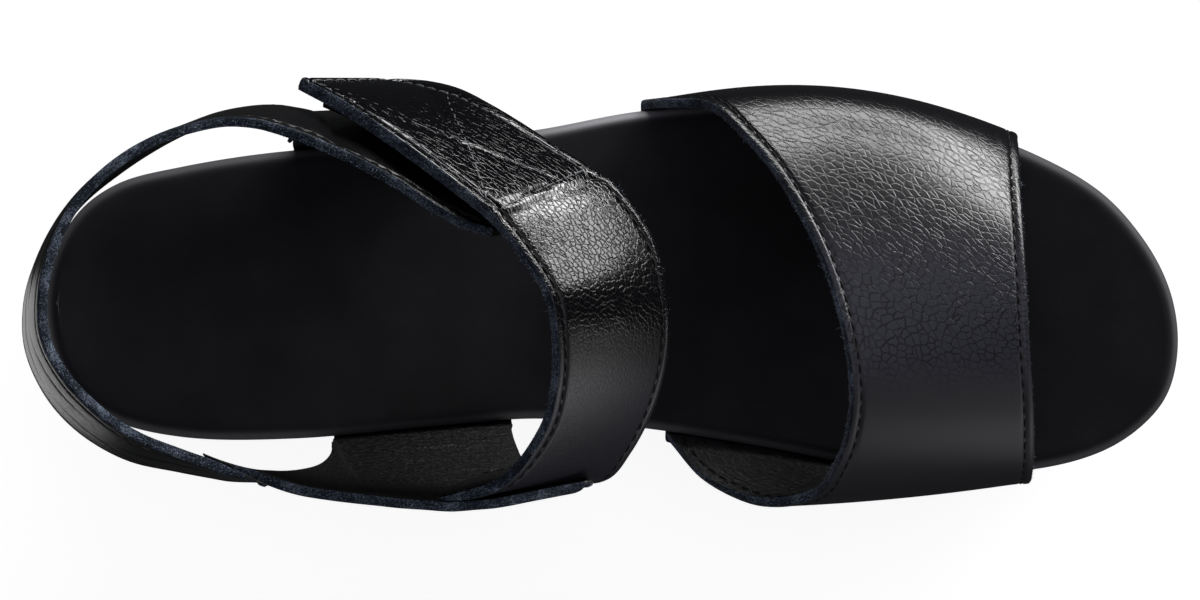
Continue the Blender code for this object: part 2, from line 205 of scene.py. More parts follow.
def grid_faces(rows, columns, first=0):
    """Quads of a grid of points, in the order (row, column), (row + 1, column), and so on round."""
    corner = np.arange(rows * columns).reshape(rows, columns) + first
    quads = np.stack([corner[:-1, :-1], corner[1:, :-1], corner[1:, 1:], corner[:-1, 1:]], axis=2)
    return quads.reshape(-1, 4)


def loop_faces(levels, count):
    """Quads between stacked loops of equal count, from the top loop down."""
    i = np.arange(count)
    j = (i + 1) % count
    upper = (np.arange(levels - 1) * count)[:, None]
    quads = np.stack([upper + i, upper + j, upper + count + j, upper + count + i], axis=-1)
    return quads.reshape(-1, 4)


def cap(loop, columns):
    """Grid across a loop, straight from each lateral point to the medial point at the same station."""
    half = len(loop) // 2
    lateral = loop[:half + 1]
    medial = np.vstack([loop[:1], loop[:half - 1:-1]])
    t = np.linspace(0.0, 1.0, columns + 1)[None, :, None]
    return lateral[:, None] * (1.0 - t) + medial[:, None] * t


def closed_body(loops, top, bottom):
    """Points and faces of stacked loops, with one grid across the first loop and one across the last."""
    count = len(loops[0])
    first = len(loops) * count
    second = first + top.shape[0] * top.shape[1]
    caps = [grid_faces(*top.shape[:2], first), grid_faces(*bottom.shape[:2], second)]
    points = np.vstack(loops + [top.reshape(-1, 3), bottom.reshape(-1, 3)])
    return points, np.vstack([loop_faces(len(loops), count)] + caps)


def new_object(name, data):
    """Object of a mesh, a light or a camera, linked into the scene."""
    made = bpy.data.objects.new(name, data)
    bpy.context.scene.collection.objects.link(made)
    return made


def new_piece(name, points, faces, materials, kinds=None, merge=False, sharp=50.0):
    """Smooth mesh object from points in mm of the last, placed in the sandal's own frame."""
    mesh = bpy.data.meshes.new(name)
    placed = (np.asarray(points) - [ORIGIN_ALONG, ORIGIN_SIDE, 0.0]) * MM
    mesh.from_pydata(placed.tolist(), [], np.asarray(faces).tolist())
    for material in materials:
        mesh.materials.append(material)
    if kinds is not None:
        mesh.polygons.foreach_set("material_index", np.asarray(kinds, np.int32))
    if merge:
        work = bmesh.new()
        work.from_mesh(mesh)
        bmesh.ops.remove_doubles(work, verts=work.verts, dist=1e-6)
        bmesh.ops.recalc_face_normals(work, faces=work.faces)
        work.to_mesh(mesh)
        work.free()
    mesh.shade_smooth()
    mesh.set_sharp_from_angle(angle=np.radians(sharp))
    return new_object(name, mesh)


def colour(code):
    """Linear colour from an sRGB hex code."""
    channel = np.array([int(code[i:i + 2], 16) for i in (1, 3, 5)]) / 255.0
    linear = np.where(channel <= 0.04045, channel / 12.92, ((channel + 0.055) / 1.055) ** 2.4)
    return (*linear.tolist(), 1.0)


def feed(tree, node, values):
    """Gives a node its links, where a value is another node's output, and its properties and constants.
    A pattern's size in mm sets its Scale, which is the number of its cells in a metre."""
    for key, value in values.items():
        if isinstance(value, bpy.types.NodeSocket):
            tree.links.new(value, node.inputs[key])
        elif key == "size_mm":
            node.inputs["Scale"].default_value = 1.0 / (value * MM)
        elif isinstance(key, str) and key in node.bl_rna.properties:
            setattr(node, key, value)
        else:
            node.inputs[key].default_value = value


def add(tree, kind, output, values=None):
    """One node with its settings and links. Gives the output that is used."""
    node = tree.nodes.new("ShaderNode" + kind)
    feed(tree, node, values or {})
    return node.outputs[output]


def new_material(name, constants):
    """Material with one Principled shader, its tree and that shader, with constants on the sockets."""
    material = bpy.data.materials.new(name)
    material.use_nodes = True
    shader = material.node_tree.nodes["Principled BSDF"]
    feed(material.node_tree, shader, constants)
    return material, material.node_tree, shader


def polyurethane_skin():
    """Moulded polyurethane: a matte black skin with a fine grain and faint cloudy wear."""
    material, tree, shader = new_material("polyurethane_skin", {"Specular IOR Level": 0.4, "IOR": 1.48})
    place = add(tree, "TexCoord", "Object")
    grain = add(tree, "TexNoise", "Fac", {"size_mm": SKIN_GRAIN, "Detail": 2.0, "Vector": place})
    cloud = add(tree, "TexNoise", "Fac", {"size_mm": SKIN_CLOUD, "Detail": 4.0, "Vector": place})
    shade = add(tree, "Mix", MIXED, {
        "data_type": "RGBA", MIX_A: colour("#121214"), MIX_B: colour("#1c1c1f"), "Factor": cloud})
    rough = add(tree, "MapRange", "Result", {"To Min": 0.5, "To Max": 0.68, "Value": cloud})
    bump = add(tree, "Bump", "Normal", {"Strength": 0.5, "Distance": 0.08 * MM, "Height": grain})
    feed(tree, shader, {"Base Color": shade, "Roughness": rough, "Normal": bump})
    return material


def tread_grooves():
    """Start and end of each groove in percent along: a first groove and a fixed pitch for each row."""
    starts = np.concatenate([first + GROOVE_PITCH * np.arange(count) for first, count in TREAD])
    return percent(np.stack([starts, starts + GROOVE_WIDTH], axis=-1))


def within(along, spans, margin):
    """True where a place lies in any of the spans, each widened by the margin."""
    low, high = np.asarray(spans).T
    return np.any((along[:, None] >= low - margin) & (along[:, None] <= high + margin), axis=1)


def sole_body():
    """Wedge as loops of the outline: pockets in its top, a straight drawn-in side, a small bottom radius,
    and grooves where the bottom loops are lifted by the groove's depth."""
    margin, step = percent(POCKET_MARGIN), percent(SEAT)
    pockets = np.array(LATERAL_POCKETS + MEDIAL_POCKETS) + [-margin, margin]
    spans = np.vstack([pockets, tread_grooves()])
    sides = (spans[:, [0, 0, 1, 1]] + [-step, 0.0, 0.0, step]).ravel()
    even = even_stations(SOLE_STATIONS)
    clear = np.abs(even[:, None] - sides[None, :]).min(axis=1) > CLEAR_STEPS * step
    stations = np.sort(np.concatenate([even[clear], sides]))
    edge = outline(stations)
    points, outward = edge
    along = percent(points[:, 0])
    lateral = np.arange(len(points)) < len(stations)
    reach = margin + STATION_SLACK
    pocket = np.where(lateral, within(along, LATERAL_POCKETS, reach), within(along, MEDIAL_POCKETS, reach))
    depth = pocket * (LEATHER + SEAT)
    groove = within(along, tread_grooves(), STATION_SLACK) * GROOVE_DEPTH
    floor_inset = SOLE_FLOOR_INSET + HEEL_BACK_INSET * np.clip(-outward[:, 0], 0.0, 1.0) ** 2
    shelf = TUCK + SEAT
    below_pockets = -SEAT - LEATHER - SEAT - SKIN_UNDER_POCKETS
    over_grooves = SOLE_EDGE_RADIUS + GROOVE_DEPTH + SIDE_OVER_GROOVES
    loops = [
        loop_at(edge, shelf + SEAT, footbed_under, -SEAT),
        loop_at(edge, shelf, footbed_under, -SEAT - depth),
        loop_at(edge, SOLE_TOP_INSET + SOLE_TOP_BEVEL, footbed_under, -SEAT - depth),
        loop_at(edge, SOLE_TOP_INSET, footbed_under, -SEAT - depth - SOLE_TOP_BEVEL),
    ]
    high = loop_at(edge, SOLE_SIDE_INSET, footbed_under, below_pockets)
    low = loop_at(edge, floor_inset, floor_line, over_grooves)
    for share in np.linspace(0.0, 1.0, SOLE_SIDE_LOOPS):
        loops.append(high * (1.0 - share) + low * share)
    for a in np.linspace(0.0, np.pi / 2.0, SOLE_EDGE_LOOPS):
        inset = floor_inset + SOLE_EDGE_RADIUS * (1 - np.cos(a))
        loops.append(loop_at(edge, inset, floor_line, SOLE_EDGE_RADIUS * (1 - np.sin(a)) + groove))
    return closed_body(loops, cap(loops[0], SOLE_ACROSS), cap(loops[-1], SOLE_ACROSS))


sole = new_piece("wedge_sole", *sole_body(), [polyurethane_skin()], merge=True, sharp=35.0)
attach(sole, "root")
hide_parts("sole")

# Footbed: a thin foam board wrapped in black nubuck, its edge rolled over and its face faintly dished at
# the heel. The nap is brushed and nearly matte black. Its rim is smoother from wear, and painted paler as a
# painted highlight where the roll turns down, most at the lateral waist before the lateral lamp.
FOOTBED_ROLL = 3.0
FOOTBED_UNDER_RADIUS = 1.0
FOOTBED_STATIONS = 220
FOOTBED_ACROSS, UNDERSIDE_ACROSS = 48, 2
ROLL_LOOPS, UNDER_LOOPS = 9, 5
HEEL_CUP, CUP_RISE, CUP_FROM, CUP_FADE = 1.1, 6.0, 18.0, 30.0
# the nap, drawn coarser than its real fibres so that it shows, its clouds in mm, and the nap's share
NAP_GRAIN, NAP_CLOUD, NAP_SHARE = 0.35, 14.0, 0.45
# middle and reach in percent along of the wear and painted highlight at the waist, and its share on the
# rest of the rim
WAIST_WORN_AND_LIT, WAIST_REACH, RIM_WORN_AND_LIT = 51.0, 17.0, 0.25
# upward part of the normal where the rim's wear and painted highlight begin, and over which they grow
RIM_TILT, RIM_GROWS = 0.995, 0.25


def nubuck():
    """Brushed leather: almost matte, with faint clouds of nap. On its rim it is smoother from wear and
    painted paler as a painted highlight.
    """
    material, tree, shader = new_material("nubuck", {
        "Specular IOR Level": 0.17, "Sheen Weight": 0.03, "Sheen Roughness": 0.5})
    place = add(tree, "TexCoord", "Object")
    nap = add(tree, "TexNoise", "Fac", {"size_mm": NAP_GRAIN, "Detail": 3.0, "Vector": place})
    cloud = add(tree, "TexNoise", "Fac", {"size_mm": NAP_CLOUD, "Detail": 5.0, "Vector": place})
    both = add(tree, "Math", "Value", {"operation": "MULTIPLY_ADD", 0: nap, 1: NAP_SHARE, 2: cloud})
    share = add(tree, "MapRange", "Result", {"From Min": 0.5, "From Max": 0.95, "Value": both})
    shade = add(tree, "Mix", MIXED, {
        "data_type": "RGBA", MIX_A: colour("#101012"), MIX_B: colour("#1c1c20"), "Factor": share})
    bump = add(tree, "Bump", "Normal", {"Strength": 0.6, "Distance": 0.06 * MM, "Height": both})
    worn_and_lit = add(tree, "Attribute", "Fac", {"attribute_name": "worn_and_lit"})
    rough = add(tree, "MapRange", "Result", {"To Min": 0.7, "To Max": 0.4, "Value": worn_and_lit})
    # painted highlight: the nubuck is mixed toward pale grey on its rim, standing in for light caught by
    # the rolled edge
    lightened = add(tree, "Mix", MIXED, {
        "data_type": "RGBA", MIX_A: shade, MIX_B: colour("#8c8c8f"), "Factor": worn_and_lit})
    feed(tree, shader, {"Base Color": lightened, "Roughness": rough, "Normal": bump})
    return material


def footbed_body():
    """Loops of the outline round the rolled rim and the lower radius, both quarter circles, and a top that
    is dished at the heel by a half cosine across."""
    edge = outline(even_stations(FOOTBED_STATIONS))
    loops = []
    for a in np.linspace(0.0, np.pi / 2.0, ROLL_LOOPS):
        inset, drop = FOOTBED_ROLL * (1 - np.sin(a)), FOOTBED_ROLL * (1 - np.cos(a))
        loops.append(loop_at(edge, inset, footbed_top, -drop))
    for a in np.linspace(0.0, np.pi / 2.0, UNDER_LOOPS):
        inset, lift = FOOTBED_UNDER_RADIUS * (1 - np.cos(a)), FOOTBED_UNDER_RADIUS * (1 - np.sin(a))
        loops.append(loop_at(edge, inset, footbed_under, lift))
    top = cap(loops[0], FOOTBED_ACROSS)
    across = np.linspace(-1.0, 1.0, FOOTBED_ACROSS + 1)[None, :]
    along = percent(top[:, :, 0])
    heel = ease(along / CUP_RISE) * (1.0 - ease((along - CUP_FROM) / CUP_FADE))
    top[:, :, 2] -= HEEL_CUP * heel * (0.5 + 0.5 * np.cos(np.pi * across))
    return closed_body(loops, top, cap(loops[-1], UNDERSIDE_ACROSS))


def mark(piece, name, values):
    """Attribute of a piece's points that its material reads: one number or one vector for each point."""
    kind, field = ("FLOAT", "value") if values.ndim == 1 else ("FLOAT_VECTOR", "vector")
    attribute = piece.data.attributes.new(name, kind, "POINT")
    attribute.data.foreach_set(field, values.astype(np.float32).ravel())


footbed = new_piece("nubuck_footbed", *footbed_body(), [nubuck()], merge=True)
spots, facing = np.zeros((2, 3 * len(footbed.data.vertices)), np.float32)
footbed.data.vertices.foreach_get("co", spots)
footbed.data.vertex_normals.foreach_get("vector", facing)
# the rim's wear and painted highlight: it grows where the roll turns down, most on the lateral waist before
# the lateral lamp
from_waist = np.abs(percent(spots[0::3] / MM + ORIGIN_ALONG) - WAIST_WORN_AND_LIT)
rim_share = RIM_WORN_AND_LIT + (1.0 - RIM_WORN_AND_LIT) * ease(1.0 - from_waist / WAIST_REACH) * (spots[1::3] > 0.0)
mark(footbed, "worn_and_lit", rim_share * ease((RIM_TILT - facing[2::3]) / RIM_GROWS))
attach(footbed, "root")
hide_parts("footbed")

# Forefoot strap: one wide band of black pebbled full-grain leather over the ball, cut raw at both edges,
# with a seam beside each, its ends glued under the footbed. The grain is worn smooth on the medial side.
INSTEP_HEIGHT = 80.0
FOREFOOT_BAND = (
    # along, side and rise of the back edge, along, side and rise of the front edge, bow in mm
    (55.1, 103, 11, 85.3, 84, 6, 6.5),
    (58.3, 101, 22, 85.2, 77, 13, 6.0),
    (61.0, 86, 32, 85.2, 64, 19, 4.0),
    (64.0, 63, 42, 85.3, 36, 28, 2.0),
    (67.5, 22, 51, 85.5, 6, 32, 1.0),
    (69.8, -31, 54, 85.8, -32, 32, 0.5),
    (70.0, -60, 50, 86.2, -60, 28, 0.5),
    (69.0, -84, 41, 86.5, -81, 20, 0.5),
    (67.0, -101, 28, 86.6, -91, 12, 0.5),
    (62.0, -105, 14, 86.7, -93, 6, 1.0),
    (57.6, -93, 4, 86.8, -94, 1, 1.0),
)
EVEN_COLUMNS = 121
ROW_STEP = 0.8
BEND_STEPS = 7
# least sine between a row and an edge, the column it is taken at, and how much of a row may be crowded
LEAST_SLANT = 0.3
SLANT_COLUMNS = 4
CROWDED_SHARE = 0.9
EDGE_ROUND = 0.45
BARE_STRIP = 0.4
SEAM, SEAM_DEPTH, SEAM_WIDTH = 2.2, 0.32, 0.42
PAD_HEIGHT, PAD_WIDTH = 0.10, 0.7
# distances in mm from an edge at which columns are crowded, and which of them lies on the seam
EDGE_COLUMNS = np.array([0.0, 0.12, 0.3, 0.6, 1.0, 1.45, 1.75, 2.0, 2.2, 2.4, 2.65, 2.95, 3.4])
SEAM_COLUMN = 8
MIDDLE_COLUMNS = 54
# kinds of face, in the order of a leather piece's materials
GRAIN_FACE, CUT_FACE, LINING_FACE = range(3)
# share of the leather's thickness, and how far the cut edge swells there in mm
CUT_SWELL = ((0.25, 0.07), (0.5, 0.10), (0.78, 0.06))
RAGGED = 0.08
STITCH_PITCH = 3.1
STITCH_GAP = 0.07
# how far a stitch bows out and sinks in, in radii of its thread, and the least squared radius at its ends
STITCH_BOW, STITCH_SINK, STITCH_END = 1.15, 0.55, 0.03
THREAD = 0.26
THREAD_RINGS, THREAD_SIDES = 7, 6
SEAM_END_ROWS = 4


def last_points(table):
    """Points in mm from columns of along, side and rise."""
    along, side, rise = np.asarray(table, float).T
    height = footbed_top(along) + rise / 100.0 * INSTEP_HEIGHT
    return np.stack([along / 100.0 * FOOTBED_LENGTH, side / 200.0 * BALL_WIDTH, height], axis=-1)


def grid_normals(grid):
    """Unit normals of a grid: the cross product of its two directions."""
    return unit(np.cross(np.gradient(grid, axis=0), np.gradient(grid, axis=1)))


def ruled_rows(rows):
    """Even points from each row's first edge to its second, pushed out in the middle by a parabola."""
    rows = np.asarray(rows, float)
    t = np.linspace(0.0, 1.0, EVEN_COLUMNS)[None, :, None]
    flat = last_points(rows[:, 0:3])[:, None] * (1.0 - t) + last_points(rows[:, 3:6])[:, None] * t
    return flat + grid_normals(flat) * 4.0 * t * (1.0 - t) * rows[:, 6, None, None]


def tuck(column, along):
    """Leather round the footbed's edge and under it: down its side, round a quarter circle, then flat."""
    points, outward = half_outline(column, turn(np.asarray(along, float)))
    reach = FOOTBED_UNDER_RADIUS + SEAT
    swing = np.linspace(0.0, np.pi / 2.0, BEND_STEPS)
    out, up = reach * np.cos(swing) - FOOTBED_UNDER_RADIUS, FOOTBED_UNDER_RADIUS - reach * np.sin(swing)
    start = [[SEAT, FOOTBED_THICKNESS - FOOTBED_ROLL]]
    profile = np.vstack([start, np.stack([out, up], axis=1), [[-TUCK / 2.0, -SEAT], [-TUCK, -SEAT]]])
    flat = points[:, None] + outward[:, None] * profile[None, :, 0, None]
    height = footbed_under(percent(flat[:, :, 0])) + profile[None, :, 1]
    return np.concatenate([flat, height[:, :, None]], axis=2)


def fill_between(rows, corners=()):
    """Close rows on a smooth curve through the given ones, their lengths along, and where those lie."""
    lengths = np.linalg.norm(np.diff(rows, axis=0), axis=2).mean(axis=1)
    places = np.concatenate([[0.0], np.cumsum(lengths)])
    counts = np.maximum(1, np.round(lengths / ROW_STEP)).astype(int)
    parts = [np.linspace(a, b, n, endpoint=False) for a, b, n in zip(places[:-1], places[1:], counts)]
    rim = EDGE_COLUMNS[1:]
    wanted = np.unique(np.concatenate(parts + [places[-1:], places[0] + rim, places[-1] - rim]))
    return smooth(places, rows, wanted, corners), wanted, np.searchsorted(wanted, places)


def travelled(points):
    """Length along each line of points, from zero at its first: the running sum of its steps."""
    steps = np.linalg.norm(np.diff(points, axis=-2), axis=-1)
    return np.concatenate([np.zeros(steps.shape[:-1] + (1,)), np.cumsum(steps, axis=-1)], axis=-1)


def read_rows(grid, place):
    """Each row of a grid read at places counted in columns, straight between one column and the next."""
    before = np.clip(place.astype(int), 0, grid.shape[1] - 2)
    part = (place - before)[:, :, None]
    row = np.arange(len(grid))[:, None]
    return grid[row, before] * (1.0 - part) + grid[row, before + 1] * part


def slant(grid, edge, beside):
    """How squarely rows meet an edge: the sine of the angle between row and edge, held over a least one."""
    tangent = np.gradient(grid[:, edge], axis=0)
    row = grid[:, beside] - grid[:, edge]
    return np.clip(np.linalg.norm(np.cross(unit(tangent), unit(row)), axis=1), LEAST_SLANT, 1.0)


def close_at_edges(grid):
    """The same sheet with columns crowded at its edges and seams: each row is read again at set distances
    from both edges. Gives the points and the square distances from the first and the second edge."""
    width = travelled(grid)[:, -1]
    first, second = slant(grid, 0, SLANT_COLUMNS), slant(grid, -1, -1 - SLANT_COLUMNS)
    limit = np.minimum(1.0, CROWDED_SHARE * width / (EDGE_COLUMNS[-1] * (1.0 / first + 1.0 / second)))
    low = EDGE_COLUMNS[None, :] * (limit / first)[:, None]
    high = width[:, None] - EDGE_COLUMNS[None, ::-1] * (limit / second)[:, None]
    share = np.linspace(0.0, 1.0, MIDDLE_COLUMNS + 2)[None, 1:-1]
    middle = low[:, -1:] * (1.0 - share) + high[:, :1] * share
    distance = np.concatenate([low, middle, high], axis=1)
    points = read_rows(grid, distance / width[:, None] * (grid.shape[1] - 1))
    return points, distance * first[:, None], (width[:, None] - distance) * second[:, None]


def seam_relief(distance):
    """Groove of a seam beside an edge: a Gaussian trough, and a low pad between it and the edge."""
    trough = -SEAM_DEPTH * np.exp(-((distance - SEAM) / SEAM_WIDTH) ** 2)
    return trough + PAD_HEIGHT * np.exp(-((distance - 0.5 * SEAM) / PAD_WIDTH) ** 2)


def edge_round(distance):
    """Loss of thickness at a cut edge: a quarter circle of the edge's radius."""
    reach = np.clip(EDGE_ROUND - distance, 0.0, EDGE_ROUND)
    return EDGE_ROUND - np.sqrt(EDGE_ROUND ** 2 - reach ** 2)


def sewn_edge(distance):
    """Relief beside a cut edge with a seam: the seam's groove, less the loss at the edge."""
    return seam_relief(distance) - edge_round(distance)


def sheet_normals(points, quads):
    """Unit normals of the points, as the sum of the faces' normals round each."""
    a, b, c, d = (points[quads[:, k]] for k in range(4))
    face = np.cross(c - a, d - b)
    normals = np.zeros_like(points)
    for k in range(4):
        np.add.at(normals, quads[:, k], face)
    return unit(normals)


def leather_wall(grid, thickness, keep=None):
    """Closed wall of leather: the lining face on the grid, the grain face one thickness outside it, and a
    slightly swollen cut edge between them. Gives points, faces, kinds, sources and the cut edge's frame."""
    rows, columns = grid.shape[:2]
    keep = np.ones((rows - 1, columns - 1), bool) if keep is None else keep
    quads = grid_faces(rows, columns).reshape(rows - 1, columns - 1, 4)
    padded = np.pad(keep, 1)
    beside = (padded[1:-1, :-2], padded[2:, 1:-1], padded[1:-1, 2:], padded[:-2, 1:-1])
    rim = np.vstack([quads[keep & ~near][:, [k, (k + 1) % 4]] for k, near in enumerate(beside)])
    quads = quads[keep]
    inner = grid.reshape(-1, 3)
    normals = sheet_normals(inner, quads)
    thick = np.broadcast_to(thickness, (rows, columns)).reshape(-1, 1)
    outer = inner + normals * thick
    total = rows * columns
    aside = np.cross(inner[rim[:, 1]] - inner[rim[:, 0]], normals[rim[:, 0]] + normals[rim[:, 1]])
    out = np.zeros_like(inner)
    for k in range(2):
        np.add.at(out, rim[:, k], aside)
    out = unit(out)
    ragged = np.random.default_rng(len(rim)).normal(0.0, RAGGED, (len(CUT_SWELL), total, 1))
    layers = [inner]
    for (share, swell), uneven in zip(CUT_SWELL, ragged):
        layers.append(inner + normals * thick * share + out * (swell + uneven))
    layers.append(outer)
    strip = rim[:, [1, 0, 0, 1]] + np.array([1, 1, 0, 0]) * total
    walls = np.vstack([strip + level * total for level in range(len(layers) - 1)])
    faces = np.vstack([quads + (len(layers) - 1) * total, walls, quads[:, ::-1]])
    kinds = np.repeat([GRAIN_FACE, CUT_FACE, LINING_FACE], [len(quads), len(walls), len(quads)])
    used, renumbered = np.unique(faces, return_inverse=True)
    return {"points": np.vstack(layers)[used], "faces": renumbered.reshape(faces.shape), "kinds": kinds,
            "source": used % total, "inner": inner.reshape(grid.shape), "outer": outer.reshape(grid.shape),
            "normals": normals.reshape(grid.shape), "out": out, "rim": rim, "thick": thick, "keep": keep,
            "edge": slice(len(quads), len(quads) + len(walls)), "raw": np.ones(len(rim), bool)}


def bare_edge(wall, distance):
    """Marks the strip of the grain face beside a cut edge, where the knife has pulled the grain off."""
    near = (distance[:-1, :-1] + distance[1:, 1:]) / 2.0 < BARE_STRIP
    near = np.pad(near, ((0, 0), (0, wall["keep"].shape[1] - near.shape[1])))[wall["keep"]]
    wall["kinds"][:near.size][near] = CUT_FACE


def leather_piece(name, wall, flat, grain, dulled_and_lit, materials):
    """Object of one leather wall, marked with its flat lengths in metres, its grain, and its greying, which
    is partly dulled polish and partly painted light.
    """
    piece = new_piece(name, wall["points"], wall["faces"], materials, wall["kinds"], sharp=62.0)
    lengths = np.pad(flat * MM, ((0, 0), (0, 0), (0, 1)))
    mark(piece, "flat", lengths.reshape(-1, 3)[wall["source"]])
    for kind, shares in (("grain", grain), ("dulled_and_lit", dulled_and_lit)):
        mark(piece, kind, np.broadcast_to(shares, flat.shape[:2]).reshape(-1)[wall["source"]])
    return piece


def flat_lengths(points, wanted):
    """Flat lengths of a sheet: along its rows' own places, and across from each row's first edge."""
    across = travelled(points)
    return np.stack([np.broadcast_to(np.asarray(wanted)[:, None], across.shape), across], axis=2)


def stitches(path, normals, thread):
    """Row of stitches along a path: each a thread that bows out as a half sine and sinks at its ends."""
    steps = travelled(path)
    count = max(1, int(round(steps[-1] / STITCH_PITCH)))
    share = np.linspace(0.0, 1.0, THREAD_RINGS)
    places = np.arange(count)[:, None] + STITCH_GAP + (1.0 - 2.0 * STITCH_GAP) * share[None, :]
    places = places * steps[-1] / count
    centre, up = (np.stack([np.interp(places, steps, field[:, k]) for k in range(3)], axis=2)
                  for field in (path, normals))
    up = unit(up)
    side = np.cross(unit(np.gradient(centre, axis=1)), up)
    lift = thread * (STITCH_BOW * np.sin(np.pi * share) - STITCH_SINK)
    centre = centre + up * lift[None, :, None]
    radius = thread * np.sqrt(np.clip(1.0 - (2.0 * share - 1.0) ** 4, STITCH_END, 1.0))
    angle = np.linspace(0.0, 2.0 * np.pi, THREAD_SIDES + 1)[None, None, :-1, None]
    ring = side[:, :, None] * np.cos(angle) + up[:, :, None] * np.sin(angle)
    points = centre[:, :, None] + ring * radius[None, :, None, None]
    tube = np.arange(THREAD_RINGS * THREAD_SIDES).reshape(THREAD_RINGS, THREAD_SIDES)
    after = np.roll(tube, -1, axis=1)
    quads = np.stack([tube[1:], after[1:], after[:-1], tube[:-1]], axis=2).reshape(-1, 4)
    halves = np.array([[0, 1, 2, 3], [3, 4, 5, 0]])
    quads = np.vstack([quads, tube[0, halves], tube[-1, halves[:, ::-1]]])
    faces = quads[None] + (np.arange(count) * tube.size)[:, None, None]
    return points.reshape(-1, 3), faces.reshape(-1, 4)


def joined(parts):
    """Several pairs of points and faces as one, the faces of each counted on from the points before it."""
    starts = np.cumsum([0] + [len(points) for points, faces in parts])
    counted = [faces + start for (points, faces), start in zip(parts, starts)]
    return np.vstack([points for points, faces in parts]), np.vstack(counted)


def stitched(name, rows, material, thread=THREAD):
    """One object of several rows of stitches, sewn in thread of that radius."""
    made = joined([stitches(path, normals, thread) for path, normals in rows])
    piece = new_piece(name, *made, [material])
    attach(piece, "root")
    return piece


def grain_seam(wall, rows, columns):
    """Seam along part of a sheet as its grain face shows it: the path and the way out of the face."""
    return wall["outer"][rows, columns], wall["normals"][rows, columns]


def both_faces(wall, rows, columns):
    """Seam along part of a sheet, seen on its grain face and again on its lining face."""
    path, up = grain_seam(wall, rows, columns)
    return [(path, up), (wall["inner"][rows, columns], -up)]


# sizes of the grain's patterns in widths of its cell, and the share of the wrinkles in its relief
DRIFT, WARP, WRINKLE, PATCHES = 1.3, 0.7, 1.1, 2.2
WRINKLE_SHARE = 0.7
# sizes in mm of pores, of a raw cut, of the lining and of thread, and the shares of some in a pattern.
# Pores and the fibres of a cut are drawn coarser than they are, so that they show.
PORE, PORE_SHARE = 0.28, 0.12
CUT_FIBRE, CUT_PATCH, CUT_PATCH_SHARE = 0.42, 5.0, 0.5
LINING_CREASE, LINING_SPECKLE, LINING_PORE, LINING_PORE_SHARE = 1.6, 1.1, 0.6, 0.3
THREAD_TWIST = 0.25


